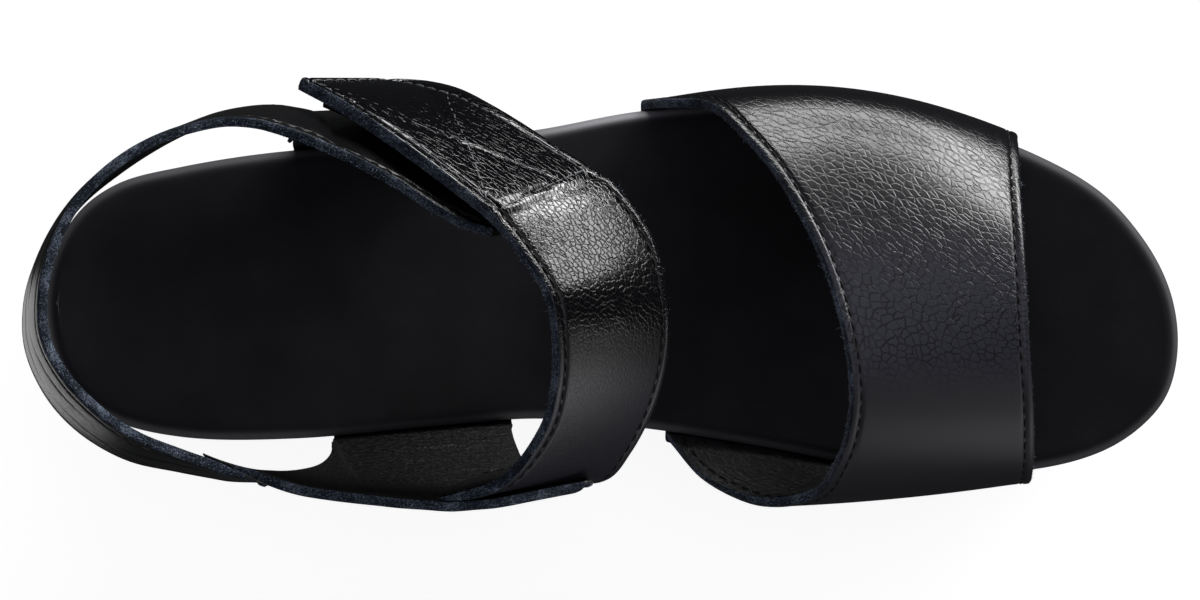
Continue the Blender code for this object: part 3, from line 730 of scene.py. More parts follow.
def pebbled_leather(name, face, cell, stretch, crack, depth, swell, roughness, crack_roughness):
    """Milled full-grain leather: uneven glossy cells, broken cracks between them with painted shade, and
    ridged wrinkles.
    The cell's width and the cracks' depth are in mm, crack is half a crack's width as a share of the cell,
    cells are longer along the strap by the stretch, and swell is how far they rise unevenly over the depth.
    Where the grain attribute falls, the face turns smooth and more matte, with fine pores. Where the
    greying attribute rises, the dye between the cracks is painted greyer, partly as dulled polish and
    partly as painted light."""
    material, tree, shader = new_material(name, {"IOR": 1.5})
    flat = add(tree, "Attribute", "Vector", {"attribute_name": "flat"})
    grain = add(tree, "Attribute", "Fac", {"attribute_name": "grain"})
    dulled_and_lit = add(tree, "Attribute", "Fac", {"attribute_name": "dulled_and_lit"})
    drift = add(tree, "TexNoise", "Fac", {"size_mm": DRIFT * cell, "Detail": 3.0, "Vector": flat})
    centred = add(tree, "VectorMath", "Vector", {
        "operation": "SUBTRACT", 0: drift.node.outputs["Color"], 1: (0.5, 0.5, 0.5)})
    warped = add(tree, "VectorMath", "Vector", {
        "operation": "MULTIPLY_ADD", 0: centred, 1: (WARP * cell * MM,) * 3, 2: flat})
    turned = add(tree, "Mapping", "Vector", {"Scale": (1.0 / stretch, 1.0, 1.0), "Vector": warped})
    pebble = add(tree, "TexVoronoi", "Distance", {
        "feature": "DISTANCE_TO_EDGE", "voronoi_dimensions": "2D", "size_mm": cell, "Vector": turned})
    wrinkle = add(tree, "TexNoise", "Fac", {
        "noise_type": "RIDGED_MULTIFRACTAL", "size_mm": WRINKLE * cell, "Detail": 2.0, "Vector": turned})
    patch = add(tree, "TexNoise", "Fac", {"size_mm": PATCHES * cell, "Detail": 1.0, "Vector": flat})
    broken = add(tree, "MapRange", "Result", {
        "From Min": 0.38, "From Max": 0.58, "To Min": 0.6, "Value": patch})
    pore = add(tree, "TexNoise", "Fac", {"size_mm": PORE, "Detail": 2.0, "Vector": flat})
    valley = add(tree, "MapRange", "Result", {
        "interpolation_type": "SMOOTHSTEP", "From Max": crack, "To Min": 1.0, "To Max": 0.0,
        "Value": pebble})
    parted = add(tree, "Math", "Value", {"operation": "MULTIPLY", 0: valley, 1: broken})
    line = add(tree, "Math", "Value", {"operation": "MULTIPLY", 0: parted, 1: grain})
    uneven = add(tree, "Math", "Value", {"operation": "MULTIPLY", 0: drift, 1: swell})
    creased = add(tree, "Math", "Value", {
        "operation": "MULTIPLY_ADD", 0: wrinkle, 1: WRINKLE_SHARE, 2: uneven})
    milled = add(tree, "Math", "Value", {"operation": "SUBTRACT", 0: creased, 1: parted})
    shown = add(tree, "Math", "Value", {"operation": "MULTIPLY", 0: milled, 1: grain})
    height = add(tree, "Math", "Value", {"operation": "MULTIPLY_ADD", 0: pore, 1: PORE_SHARE, 2: shown})
    bump = add(tree, "Bump", "Normal", {"Strength": 1.0, "Distance": depth * MM, "Height": height})
    # partly dulled polish, partly painted light: the face is mixed toward grey where the greying attribute
    # rises
    greyed_face = add(tree, "Mix", MIXED, {
        "data_type": "RGBA", MIX_A: colour(face), MIX_B: colour("#2c2c34"), "Factor": dulled_and_lit})
    # painted shade: the cracks are mixed toward near-black, standing in for the shade inside them
    shade = add(tree, "Mix", MIXED, {
        "data_type": "RGBA", MIX_A: greyed_face, MIX_B: colour("#020203"), "Factor": line})
    smooth_face = add(tree, "MapRange", "Result", {"To Min": 0.48, "To Max": roughness, "Value": grain})
    rough = add(tree, "Math", "Value", {
        "operation": "MULTIPLY_ADD", 0: line, 1: crack_roughness, 2: smooth_face})
    feed(tree, shader, {"Base Color": shade, "Roughness": rough, "Normal": bump})
    return material


def cut_edge():
    """Raw cut of dyed leather: matte blue-grey fibres with dark gaps between them, rough and speckled."""
    material, tree, shader = new_material("cut_edge", {
        "Roughness": 0.95, "Specular IOR Level": 0.2, "Sheen Weight": 0.12, "Sheen Roughness": 0.4})
    place = add(tree, "TexCoord", "Object")
    fibre = add(tree, "TexNoise", "Fac", {
        "size_mm": CUT_FIBRE, "Detail": 4.0, "Roughness": 0.75, "Vector": place})
    patch = add(tree, "TexNoise", "Fac", {"size_mm": CUT_PATCH, "Detail": 2.0, "Vector": place})
    both = add(tree, "Math", "Value", {"operation": "MULTIPLY_ADD", 0: patch, 1: CUT_PATCH_SHARE, 2: fibre})
    ramp = add(tree, "ValToRGB", "Color", {"Fac": both})
    stops = ramp.node.color_ramp.elements
    stops[0].position, stops[0].color = 0.6, colour("#10141b")
    stops[1].position, stops[1].color = 0.95, colour("#7c8795")
    stops.new(0.78).color = colour("#28303c")
    bump = add(tree, "Bump", "Normal", {"Strength": 1.0, "Distance": 0.22 * MM, "Height": fibre})
    feed(tree, shader, {"Base Color": ramp, "Normal": bump})
    return material


def lining():
    """Black lining leather: satin, with long shallow creases and pores, and rubbed to grey speckles."""
    material, tree, shader = new_material("lining", {"Roughness": 0.45, "Specular IOR Level": 0.45})
    flat = add(tree, "Attribute", "Vector", {"attribute_name": "flat"})
    long = add(tree, "Mapping", "Vector", {"Scale": (0.35, 1.0, 1.0), "Vector": flat})
    crease = add(tree, "TexNoise", "Fac", {"size_mm": LINING_CREASE, "Detail": 4.0, "Vector": long})
    pore = add(tree, "TexVoronoi", "Distance", {"size_mm": LINING_PORE, "Vector": flat})
    height = add(tree, "Math", "Value", {
        "operation": "MULTIPLY_ADD", 0: pore, 1: LINING_PORE_SHARE, 2: crease})
    speckle = add(tree, "TexNoise", "Fac", {
        "size_mm": LINING_SPECKLE, "Detail": 4.0, "Roughness": 0.7, "Vector": flat})
    lightened = add(tree, "MapRange", "Result", {"From Min": 0.46, "From Max": 0.68, "Value": speckle})
    shade = add(tree, "Mix", MIXED, {
        "data_type": "RGBA", MIX_A: colour("#060607"), MIX_B: colour("#2d2d30"), "Factor": lightened})
    bump = add(tree, "Bump", "Normal", {"Strength": 1.0, "Distance": 0.5 * MM, "Height": height})
    feed(tree, shader, {"Base Color": shade, "Normal": bump})
    return material


def sewing_thread(name, code, roughness):
    """Bonded polyester thread of one colour, with a slight gloss on its twist."""
    material, tree, shader = new_material(name, {
        "Base Color": colour(code), "Roughness": roughness, "Specular IOR Level": 0.3})
    place = add(tree, "TexCoord", "Object")
    twist = add(tree, "TexNoise", "Fac", {"size_mm": THREAD_TWIST, "Vector": place})
    bump = add(tree, "Bump", "Normal", {"Strength": 0.7, "Distance": 0.08 * MM, "Height": twist})
    feed(tree, shader, {"Normal": bump})
    return material


EDGE = cut_edge()
LINING = lining()
YARN = sewing_thread("sewing_thread", "#060608", roughness=0.7)
# sides in mm between which the grain fades and the face greys, as dulled polish and painted light, and the
# shares that are left there
GRAIN_FROM, GRAIN_TO, GRAIN_LEFT = -12.0, -23.0, 0.06
GREY_FROM, GREY_TO, GREY_SMOOTH = 22.0, 2.0, 0.35
# reach in mm, turn for each mm along and first angle of the two waves in which the grain ends
GRAIN_WAVES = ((0.6, 0.55, 0.0), (0.3, 1.3, 1.0))


def forefoot_rows():
    """Rows of the band with a row on the footbed's edge at each end."""
    share = np.linspace(0.0, 1.0, EVEN_COLUMNS)
    ends = []
    for column, (low, high) in ((LATERAL, LATERAL_POCKETS[0]), (MEDIAL, MEDIAL_POCKETS[0])):
        ends.append(tuck(column, low + (high - low) * share)[None, :, 0])
    return np.concatenate([ends[0], ruled_rows(FOREFOOT_BAND), ends[1]])


def forefoot_ends(points):
    """Rows under the footbed at both ends, square below the first and the last row of the band."""
    lateral = tuck(LATERAL, percent(points[0, :, 0]))
    medial = tuck(MEDIAL, percent(points[-1, :, 0]))
    return lateral.transpose(1, 0, 2)[:0:-1], medial.transpose(1, 0, 2)[1:]


even, lengths = fill_between(forefoot_rows())[:2]
band, from_back, from_front = close_at_edges(even)
under_lateral, under_medial = forefoot_ends(band)
grid = np.concatenate([under_lateral, band, under_medial])
tucked = len(under_lateral), len(under_medial)
from_back = np.pad(from_back, (tucked, (0, 0)), mode="edge")
from_front = np.pad(from_front, (tucked, (0, 0)), mode="edge")
before, after = lengths[0] - np.arange(tucked[0], 0, -1), lengths[-1] + np.arange(1, tucked[1] + 1)
flat = flat_lengths(grid, np.concatenate([before, lengths, after]))
wall = leather_wall(grid, LEATHER + sewn_edge(from_back) + sewn_edge(from_front))
bare_edge(wall, from_back)
side = grid[:, :, 1] - ORIGIN_SIDE
waver = sum(reach * np.sin(grid[:, :, 0] * rate + start) for reach, rate, start in GRAIN_WAVES)
grain = GRAIN_LEFT + (1.0 - GRAIN_LEFT) * ease((side + waver - GRAIN_TO) / (GRAIN_FROM - GRAIN_TO))
# painted light, partly dulled polish: the face is painted greyer from the crown toward the medial side, and
# stays black on the lateral flank that the lateral lamp lights
dulled_and_lit = ease((GREY_FROM - side) / (GREY_FROM - GREY_TO)) * (GREY_SMOOTH + (1.0 - GREY_SMOOTH) * grain)
full_grain = pebbled_leather(
    "pebbled_leather", "#0c0c10", cell=1.9, stretch=0.85, crack=0.19, depth=0.03, swell=1.8,
    roughness=0.26, crack_roughness=0.06)
forefoot = leather_piece("forefoot_band", wall, flat, grain, dulled_and_lit, [full_grain, EDGE, LINING])
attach(forefoot, "root")
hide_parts("forefoot_strap")
sewn = slice(tucked[0] + SEAM_END_ROWS, len(grid) - tucked[1] - SEAM_END_ROWS)
seams = both_faces(wall, sewn, SEAM_COLUMN) + both_faces(wall, sewn, -1 - SEAM_COLUMN)
stitched("forefoot_stitches", seams, YARN)
edges = [wall]

# Back strap: the lateral quarter and the heel strap, cut in one piece of the same leather and lined. It is
# glued under the footbed on the lateral side, and runs round the heel to lie over the medial quarter's end.
HEEL_BAND = (
    # along, side and rise of the top edge, along, side and rise of the lower edge, bow in mm
    (20.8, -93.5, 71, 20.8, -93.5, 43, 0.0),
    (16.9, -82.5, 70, 16.7, -88.5, 42, 0.0),
    (13.6, -75, 71, 12.9, -84, 43, 0.3),
    (10.3, -67, 71, 8.7, -78, 44, 0.8),
    (7.0, -53, 73, 4.4, -62, 46, 0.8),
    (4.3, -35, 74, 1.8, -42, 47, 0.8),
    (2.9, -18, 75, 0.6, -22, 47, 0.8),
    (2.7, -1, 75, 0.6, -2, 47, 0.8),
    (3.7, 27, 75, 2.2, 26, 47, 0.8),
    (5.4, 47, 74, 4.4, 46, 47, 0.6),
    (8.7, 67, 74, 8.0, 65, 46, 0.4),
    (14.5, 84, 74, 14.2, 87, 46, 0.2),
    (17.4, 87.5, 74, 16.8, 92.5, 46, 0.5),
    (20.0, 86.5, 75.5, 19.6, 95.5, 43.5, 1.0),
    (21.3, 84.5, 76.5, 21.0, 95.8, 36, 1.7),
    (22.5, 82.2, 77, 21.6, 94.5, 26, 2.7),
    (23.9, 79.3, 77.3, 21.75, 92, 15, 4.0),
    (25.2, 76, 78.7, 21.75, 87.2, 5, 5.2),
)
LATERAL_SOLE = (
    # along, side and rise of the top edge, along of the foot, bow in mm
    (26.5, 72.4, 80.3, 21.7, 6.8),
    (28.7, 66, 83, 31.0, 8.0),
    (32.0, 55, 86, 37.7, 9.5),
)
LATERAL_TAB = (
    # as the heel band
    (35.3, 42, 91, 42.0, 80, 46, 2.0),
    (37.6, 35, 94, 45.5, 63, 69, 1.0),
    (39.6, 31.5, 97, 48.0, 45, 80, 0.0),
)
BELLY_DROP = 1.25
SKIVE_LENGTH = 14.0
THINNEST = 0.4
CREASE_BOW = 0.004
# share of a skived or pared end's depth past which its edge gets painted shade
SHADED_FROM = 0.6
QUARTER_GRAIN = 0.9
HEEL_STRAP_TIP = (1.4, 11.0)
BACK_CREASES = (
    # along and across in mm, degrees from the strap's length, half length, half width and depth in mm
    (22, 9, 4, 16, 0.9, 0.35),
    (38, 14, -3, 18, 0.8, 0.30),
    (52, 7, 5, 14, 0.7, 0.30),
    (30, 17, 2, 12, 0.7, 0.25),
    (63, 13, -4, 15, 0.9, 0.35),
    (76, 9, 3, 12, 0.8, 0.25),
    (104, 12, 2, 14, 0.8, 0.20),
    (196, 24, 12, 16, 1.6, 0.40),
    (204, 40, -6, 18, 1.8, 0.40),
)


def sole_rows(rows, column):
    """Even points from a top edge down to the footbed's edge, pushed out by a sine that peaks low down."""
    rows = np.asarray(rows, float)
    t = np.linspace(0.0, 1.0, EVEN_COLUMNS)[None, :, None]
    foot = tuck(column, rows[:, 3])[:, 0]
    flat = last_points(rows[:, 0:3])[:, None] * (1.0 - t) + foot[:, None] * t
    return flat + grid_normals(flat) * np.sin(np.pi * t ** BELLY_DROP) * rows[:, 4, None, None]


def add_tuck(points, column, first, last):
    """Lengthens the rows on the sole under the footbed. Gives the points and which faces exist."""
    under = tuck(column, percent(points[first:last + 1, -1, 0]))
    points[first:last + 1, -1] = under[:, 0]
    longer = np.repeat(points[:, -1:], under.shape[1] - 1, axis=1)
    longer[first:last + 1] = under[:, 1:]
    keep = np.ones((len(points) - 1, points.shape[1] + longer.shape[1] - 1), bool)
    keep[:, points.shape[1] - 1:] = False
    keep[first:last, points.shape[1] - 1:] = True
    return np.concatenate([points, longer], axis=1), keep


def creases(flat, table):
    """Soft troughs in a flat sheet: each a Gaussian across a line, eased out toward the line's two ends."""
    sunk = np.zeros(flat.shape[:2])
    for along, across, degrees, half_length, half_width, depth in table:
        angle = np.radians(degrees)
        x, y = flat[:, :, 0] - along, flat[:, :, 1] - across
        lengthwise = x * np.cos(angle) + y * np.sin(angle)
        crosswise = y * np.cos(angle) - x * np.sin(angle) + CREASE_BOW * np.sign(degrees) * lengthwise ** 2
        ended = ease(1.0 - np.abs(lengthwise) / half_length)
        sunk -= depth * np.exp(-(crosswise / half_width) ** 2) * ended
    return sunk


def skived(lengths, depth):
    """Depth by which a sheet's last end is thinned from inside: eased in over the skive's length."""
    return depth * ease(1.0 - (lengths[-1] - lengths) / SKIVE_LENGTH)[:, None]


def shade_edge(wall, chosen):
    """Gives the chosen cut edges of the rim the dark lining material as painted shade, and leaves only the
    rest raw.
    """
    wall["kinds"][wall["edge"]].reshape(-1, len(wall["rim"]))[:, chosen] = LINING_FACE
    wall["raw"] = wall["raw"] & ~chosen


def quarter(first_rows, foot_rows, last_rows, column, folds, tip, skive):
    """Quarter through three groups of rows, of which the middle one stands on the sole. Folds are its
    creases, tip is the depth and length in mm by which its first end is pared from outside, and skive the
    depth by which its last end is thinned from inside. Gives the wall, its flat lengths, and the first and
    last row on the sole with the number of columns above it."""
    rows = np.concatenate([ruled_rows(first_rows), sole_rows(foot_rows, column), ruled_rows(last_rows)])
    corners = len(first_rows), len(first_rows) + len(foot_rows) - 1
    even, lengths, places = fill_between(rows, corners)
    points, from_top, from_foot = close_at_edges(even)
    thinned = skived(lengths, skive)
    pared = tip[0] * ease(1.0 - (lengths - lengths[0]) / tip[1])[:, None]
    lifted = creases(flat_lengths(points, lengths), folds) + thinned
    points = points + grid_normals(points) * lifted[:, :, None]
    first, last = places[list(corners)]
    free = np.ones((len(points), 1))
    free[first:last + 1] = 0.0
    relief = sewn_edge(from_top) - thinned - pared + sewn_edge(from_foot) * free
    for distance in (lengths - lengths[0], lengths[-1] - lengths):
        relief = relief + sewn_edge(distance)[:, None]
    width = points.shape[1]
    grid, keep = add_tuck(points, column, first, last)
    thickness = np.full(grid.shape[:2], LEATHER)
    thickness[:, :width] = np.maximum(LEATHER + relief, THINNEST)
    wall = leather_wall(grid, thickness, keep)
    bare_edge(wall, from_top + SKIVE_LENGTH * thinned)
    row, edge_column = np.divmod(wall["rim"], grid.shape[1])
    hidden = (thinned[row, 0] > SHADED_FROM * skive) | (pared[row, 0] > SHADED_FROM * tip[0])
    # painted shade: every cut edge but the top one, and those at thinned ends, get the dark lining material
    shade_edge(wall, ((edge_column > 0) | hidden).any(axis=1))
    return wall, flat_lengths(grid, lengths), (first, last, width)


def quarter_seams(wall, foot, stop, gap):
    """Seams on a quarter's grain face: one beside its top edge as far as the row to stop at, and one beside
    each free lower edge, which keeps a gap of rows from the foot."""
    first, last, width = foot
    free = slice(SEAM_COLUMN, first - gap), slice(last + gap + 1, stop)
    top = grain_seam(wall, slice(SEAM_COLUMN, stop), SEAM_COLUMN)
    return [top] + [grain_seam(wall, rows, width - 1 - SEAM_COLUMN) for rows in free]


wall, flat, foot = quarter(
    HEEL_BAND, LATERAL_SOLE, LATERAL_TAB, LATERAL, BACK_CREASES, tip=HEEL_STRAP_TIP, skive=0.0)
quarter_leather = pebbled_leather(
    "quarter_leather", "#070709", cell=0.8, stretch=6.0, crack=0.2, depth=0.035, swell=1.0,
    roughness=0.3, crack_roughness=0.0)
quarter_skins = [quarter_leather, EDGE, LINING]
back = leather_piece("back_strap_leather", wall, flat, QUARTER_GRAIN, dulled_and_lit=0.0, materials=quarter_skins)
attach(back, "root")
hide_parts("back_strap")
stitched("back_strap_stitches", quarter_seams(wall, foot, -SEAM_COLUMN, gap=2), YARN)
edges.append(wall)

# Medial quarter: a short piece of the same leather, lined, glued under the footbed on the medial side. Its
# rear end is sewn inside the heel strap, and the instep strap is sewn inside its front tab.
MEDIAL_FRONT = (
    # as the heel band, from the tab's tip back
    (48.0, -92, 73, 47.4, -95, 58, 0.0),
    (42.6, -98, 77.5, 42.3, -86, 34, 0.7),
    (40.6, -100.3, 78, 41.3, -77.5, 15, 1.2),
    (39.3, -101.4, 77.8, 40.85, -70.5, 3.5, 1.7),
)
MEDIAL_SOLE = (
    # as the lateral sole
    (37.9, -102.2, 77.4, 40.7, 2.0),
    (36.3, -102.9, 76.9, 37.6, 2.0),
    (33.9, -101.9, 76.4, 33.0, 2.0),
    (31.8, -100.9, 75.9, 28.8, 2.0),
    (30.3, -99.8, 75.1, 25.2, 2.0),
)
MEDIAL_REAR = (
    # as the heel band
    (29.0, -98.8, 74.4, 25.2, -76.5, 3, 1.7),
    (27.7, -97.9, 73.7, 25.1, -81.5, 12, 1.3),
    (26.4, -96.9, 72.9, 24.6, -85.2, 21, 1.0),
    (23.5, -94, 71, 23.1, -88, 32, 0.6),
    (20.6, -88, 70, 20.6, -88, 43, 0.0),
    (15.8, -74, 69, 15.8, -80, 44, 0.0),
)
MEDIAL_CREASES = (
    # as the back strap's
    (40, 14, 4, 16, 1.4, 0.45),
    (48, 24, -5, 20, 1.6, 0.55),
    (42, 36, 6, 17, 1.5, 0.45),
    (54, 44, -3, 16, 1.5, 0.40),
    (46, 54, 2, 15, 1.4, 0.35),
)
MEDIAL_TIP = (1.0, 5.0)
MEDIAL_SKIVE = 1.7
wall, flat, foot = quarter(
    MEDIAL_FRONT, MEDIAL_SOLE, MEDIAL_REAR, MEDIAL, MEDIAL_CREASES, tip=MEDIAL_TIP, skive=MEDIAL_SKIVE)
medial = leather_piece(
    "medial_quarter_leather", wall, flat, QUARTER_GRAIN, dulled_and_lit=0.0, materials=quarter_skins)
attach(medial, "root")
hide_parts("medial_quarter")
whole = int(np.searchsorted(flat[:, 0, 0], flat[-1, 0, 0] - SKIVE_LENGTH))
stitched("medial_quarter_stitches", quarter_seams(wall, foot, whole, gap=1), YARN)
edges.append(wall)

# Instep strap: a band of softer pebbled leather from the medial tab over the instep. Its free end is the
# closing flap, backed with tape and quilted with a crossed seam, with one round and one sharp corner.
INSTEP_BAND = (
    # along, side and rise of the back edge, along, side and rise of the front edge, bow in mm
    (23.1, 108, 56, 31.4, 109, 37, 0.0),
    (26.4, 97, 66, 35.3, 106, 45, 0.0),
    (30.9, 79, 79, 39.2, 96, 59, 0.0),
    (35.8, 57, 91, 44.9, 76, 73, 0.5),
    (39.7, 38, 100, 49.6, 56, 81, 1.0),
    (42.0, 21, 102, 52.6, 30, 81, 1.0),
    (44.1, 0, 103, 53.7, 3, 81, 1.0),
    (44.6, -20, 101, 53.9, -18, 78, 1.0),
    (44.5, -43, 97, 53.0, -47, 74, 1.0),
    (43.4, -66, 90, 50.8, -75.5, 65, 1.0),
    (40.7, -88, 83, 48.6, -89.5, 56, 0.5),
    (36.5, -97.5, 77, 42.5, -84, 46, 0.0),
    (33.6, -98, 69, 38.6, -86, 42, 0.0),
)
FLAP_FACE = 3
FLAP_CORNER = (10.0, 9.0)
FLAP_DOUBLING, FLAP_FALL = 0.75, 1.0
FLAP_TAPER, FLAP_TAPER_FROM = 2.3, 8.0
# length of the flap at its back and front edge, and the step there back to the strap's full width
FLAP_END = (58.0, 55.0)
FLAP_STEP_LEAD, FLAP_STEP = 1.0, 2.5
# the flap's nominal width, the seam that closes its end, how wide its groove is, and its start across
FLAP_WIDTH = 30.0
END_SEAM, END_SEAM_WIDTH, END_SEAM_FROM = 1.6, 0.4472, 0.07
FLAP_CROSS = (
    # length along and share across at both ends of each seam
    ((3.0, 0.06), (54.0, 0.64)),
    ((15.0, 0.87), (53.0, 0.06)),
)
CROSS_DEPTH, CROSS_WIDTH = 0.22, 0.45
QUILT_DEPTH, QUILT_WIDTH = 0.06, 2.0
CROSS_POINTS = 60
FINE_THREAD = 0.17
STRAP_SKIVE = 1.5
STRAP_END_ROWS = 2
# side in mm where the grain and the face's grey, dulled polish and painted light, begin to change, over
# which they do, and how much
STRAP_GRAIN_FROM, STRAP_GRAIN_OVER, STRAP_GRAIN_LEFT = -14.0, 12.0, 0.35
STRAP_GREY_FROM, STRAP_GREY_OVER, STRAP_GREY = -10.0, 14.0, 0.8


def round_corner(even, lengths):
    """Flap with its front corner rounded: points near it move along by the gap of a quarter ellipse."""
    along, across = FLAP_CORNER
    share = np.linspace(0.0, 1.0, EVEN_COLUMNS)[None, :]
    near = np.clip(1.0 - (1.0 - share) * travelled(even)[:, -1:] / across, 0.0, 1.0)
    tip = (lengths - lengths[0])[:, None]
    moved = tip + along * (1.0 - np.sqrt(1.0 - near ** 2)) * np.clip(1.0 - tip / FLAP_END[1], 0.0, 1.0)
    place = np.interp(moved, tip[:, 0], np.arange(len(tip)))
    return read_rows(even.transpose(1, 0, 2), place.T).transpose(1, 0, 2)


def taper_flap(even, lengths):
    """Flap drawn in at its front edge, more toward its end, where the strap steps out to its full width."""
    tip = lengths - lengths[0]
    grown = ease((tip - FLAP_TAPER_FROM) / (FLAP_END[1] - FLAP_TAPER_FROM))
    ended = ease((tip - FLAP_END[1] + FLAP_STEP_LEAD) / FLAP_STEP)
    kept = 1.0 - FLAP_TAPER * grown * (1.0 - ended) / travelled(even)[:, -1]
    return read_rows(even, kept[:, None] * np.arange(EVEN_COLUMNS)[None, :])


def line_distance(along, across, start, end):
    """Distance of flat places from a straight seam, past its ends measured from the nearest end."""
    reach = np.subtract(end, start)
    share = ((along - start[0]) * reach[0] + (across - start[1]) * reach[1]) / (reach @ reach)
    share = np.clip(share, 0.0, 1.0)
    return np.hypot(along - start[0] - share * reach[0], across - start[1] - share * reach[1])


def on_sheet(even, lengths, along, share):
    """Points and normals of an even sheet at lengths along and shares across, read between its points."""
    row = np.interp(along, lengths, np.arange(len(lengths)))[:, None]
    column = np.tile(share * (EVEN_COLUMNS - 1), (len(lengths), 1))
    across = [read_rows(field, column).transpose(1, 0, 2) for field in (even, grid_normals(even))]
    return [read_rows(field, row)[:, 0] for field in across]


even_strap, lengths, places = fill_between(ruled_rows(INSTEP_BAND))
even_strap = taper_flap(round_corner(even_strap, lengths), lengths)
grid, from_back, from_front = close_at_edges(even_strap)
thinned = skived(lengths, STRAP_SKIVE)
grid = grid + grid_normals(grid) * thinned[:, :, None]
tip = (lengths - lengths[0])[:, None]
relief = sewn_edge(from_back) + sewn_edge(from_front) + sewn_edge(tip) - thinned
share = from_back / (from_back + from_front)
past_flap = tip - FLAP_END[0] - (FLAP_END[1] - FLAP_END[0]) * share
relief = relief + FLAP_DOUBLING * (1.0 - ease(past_flap / FLAP_FALL + 0.5))
relief = relief - SEAM_DEPTH * np.exp(-((past_flap + END_SEAM) / END_SEAM_WIDTH) ** 2)
for ends in FLAP_CROSS:
    start, end = ((along, across * FLAP_WIDTH) for along, across in ends)
    away = line_distance(tip, share * FLAP_WIDTH, start, end)
    relief = relief - CROSS_DEPTH * np.exp(-(away / CROSS_WIDTH) ** 2)
    relief = relief - QUILT_DEPTH * np.exp(-(away / QUILT_WIDTH) ** 2)
wall = leather_wall(grid, LEATHER + relief)
on_flap = (past_flap < 0.0)[:-1, :-1].ravel()
wall["kinds"][:on_flap.size][on_flap] = FLAP_FACE
bare_edge(wall, from_back)
bare_edge(wall, np.broadcast_to(tip, from_back.shape))
# painted shade: the cut edge at the strap's last end gets the dark lining material
shade_edge(wall, (wall["rim"] // grid.shape[1] == len(grid) - 1).all(axis=1))
side = grid[:, :, 1] - ORIGIN_SIDE
grained = ease((side - STRAP_GRAIN_FROM) / STRAP_GRAIN_OVER)
grain = np.where(past_flap < 0.0, 1.0, STRAP_GRAIN_LEFT + (1.0 - STRAP_GRAIN_LEFT) * grained)
# painted light, partly dulled polish: the strap's face is painted greyer toward the medial side
dulled_and_lit = STRAP_GREY * ease((STRAP_GREY_FROM - side) / STRAP_GREY_OVER)
soft_grain = pebbled_leather(
    "soft_pebbled_leather", "#060608", cell=1.1, stretch=1.1, crack=0.2, depth=0.04, swell=1.6,
    roughness=0.16, crack_roughness=0.16)
# painted shade: the flap is the same strap's leather, with its face painted darker than the rest of the
# strap
flap_grain = pebbled_leather(
    "wrinkled_leather", "#040406", cell=1.0, stretch=3.0, crack=0.14, depth=0.04, swell=0.6,
    roughness=0.13, crack_roughness=0.1)
strap_skins = [soft_grain, EDGE, LINING, flap_grain]
instep = leather_piece("instep_band", wall, flat_lengths(grid, lengths), grain, dulled_and_lit, strap_skins)
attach(instep, "root")
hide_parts("instep_strap")
flap_last = int(np.searchsorted(tip[:, 0], FLAP_END[1]))
seams = []
flap_seams = []
for column in (SEAM_COLUMN, -1 - SEAM_COLUMN):
    seams += both_faces(wall, slice(flap_last, -STRAP_END_ROWS), column)
    flap_seams += both_faces(wall, slice(SEAM_COLUMN, flap_last), column)
flap_seams.append(grain_seam(wall, SEAM_COLUMN, slice(SEAM_COLUMN, -SEAM_COLUMN)))
stitched("instep_stitches", seams, YARN)
# painted highlight: the flap's stitches take a pale grey thread colour that stands in for light glinting on
# dark thread
painted_glint_thread = sewing_thread("thread_painted_glint", "#6c6d71", roughness=0.4)
stitched("flap_stitches", flap_seams, painted_glint_thread, FINE_THREAD)
end_seam = ((FLAP_END[0] - END_SEAM, END_SEAM_FROM), (FLAP_END[1] - END_SEAM, 1.0 - END_SEAM_FROM))
step = np.linspace(0.0, 1.0, CROSS_POINTS)
crossed = []
for (start_along, start_share), (end_along, end_share) in (end_seam,) + FLAP_CROSS:
    line_along = start_along + (end_along - start_along) * step
    line_share = start_share + (end_share - start_share) * step
    points, up = on_sheet(even_strap, lengths, line_along, line_share)
    crossed.append((points + up * (LEATHER + FLAP_DOUBLING - CROSS_DEPTH), up))
stitched("flap_cross_stitches", crossed, painted_glint_thread, FINE_THREAD)
edges.append(wall)

# Fastening: two pieces of black hook-and-loop tape. The hooks are sewn under the flap, and the loops on the
# outside of the lateral quarter, so the flap presses shut on it.
PATCH = 1.15
# rows left free at the flap's end, the row of the band where the tape ends, and rows left free before it
TAPE_START_ROWS, TAPE_BAND_ROW, TAPE_END_ROWS = 14, 4, 2
TAPE_MARGIN = EVEN_COLUMNS // 6
TAPE_STRIDE = 2
TAPES = (
    # piece, its CAD node, its layer under the flap and the pitch of its pile in mm
    ("hook_tape", "hook_patch", 1, 0.8),
    ("loop_tape", "loop_patch", 2, 0.6),
)


def fastening_tape(name, pitch):
    """Woven nylon tape with a dense fuzzy pile: matte black with a fine regular pitch in mm."""
    material, tree, shader = new_material(name, {
        "Roughness": 0.9, "Specular IOR Level": 0.25, "Sheen Weight": 0.1})
    flat = add(tree, "Attribute", "Vector", {"attribute_name": "flat"})
    pile = add(tree, "TexVoronoi", "Distance", {"size_mm": pitch, "Randomness": 0.6, "Vector": flat})
    shade = add(tree, "Mix", MIXED, {
        "data_type": "RGBA", MIX_A: colour("#1a1a1c"), MIX_B: colour("#08080a"), "Factor": pile})
    bump = add(tree, "Bump", "Normal", {
        "Strength": 1.0, "Distance": 0.4 * MM, "invert": True, "Height": pile})
    feed(tree, shader, {"Base Color": shade, "Normal": bump})
    return material


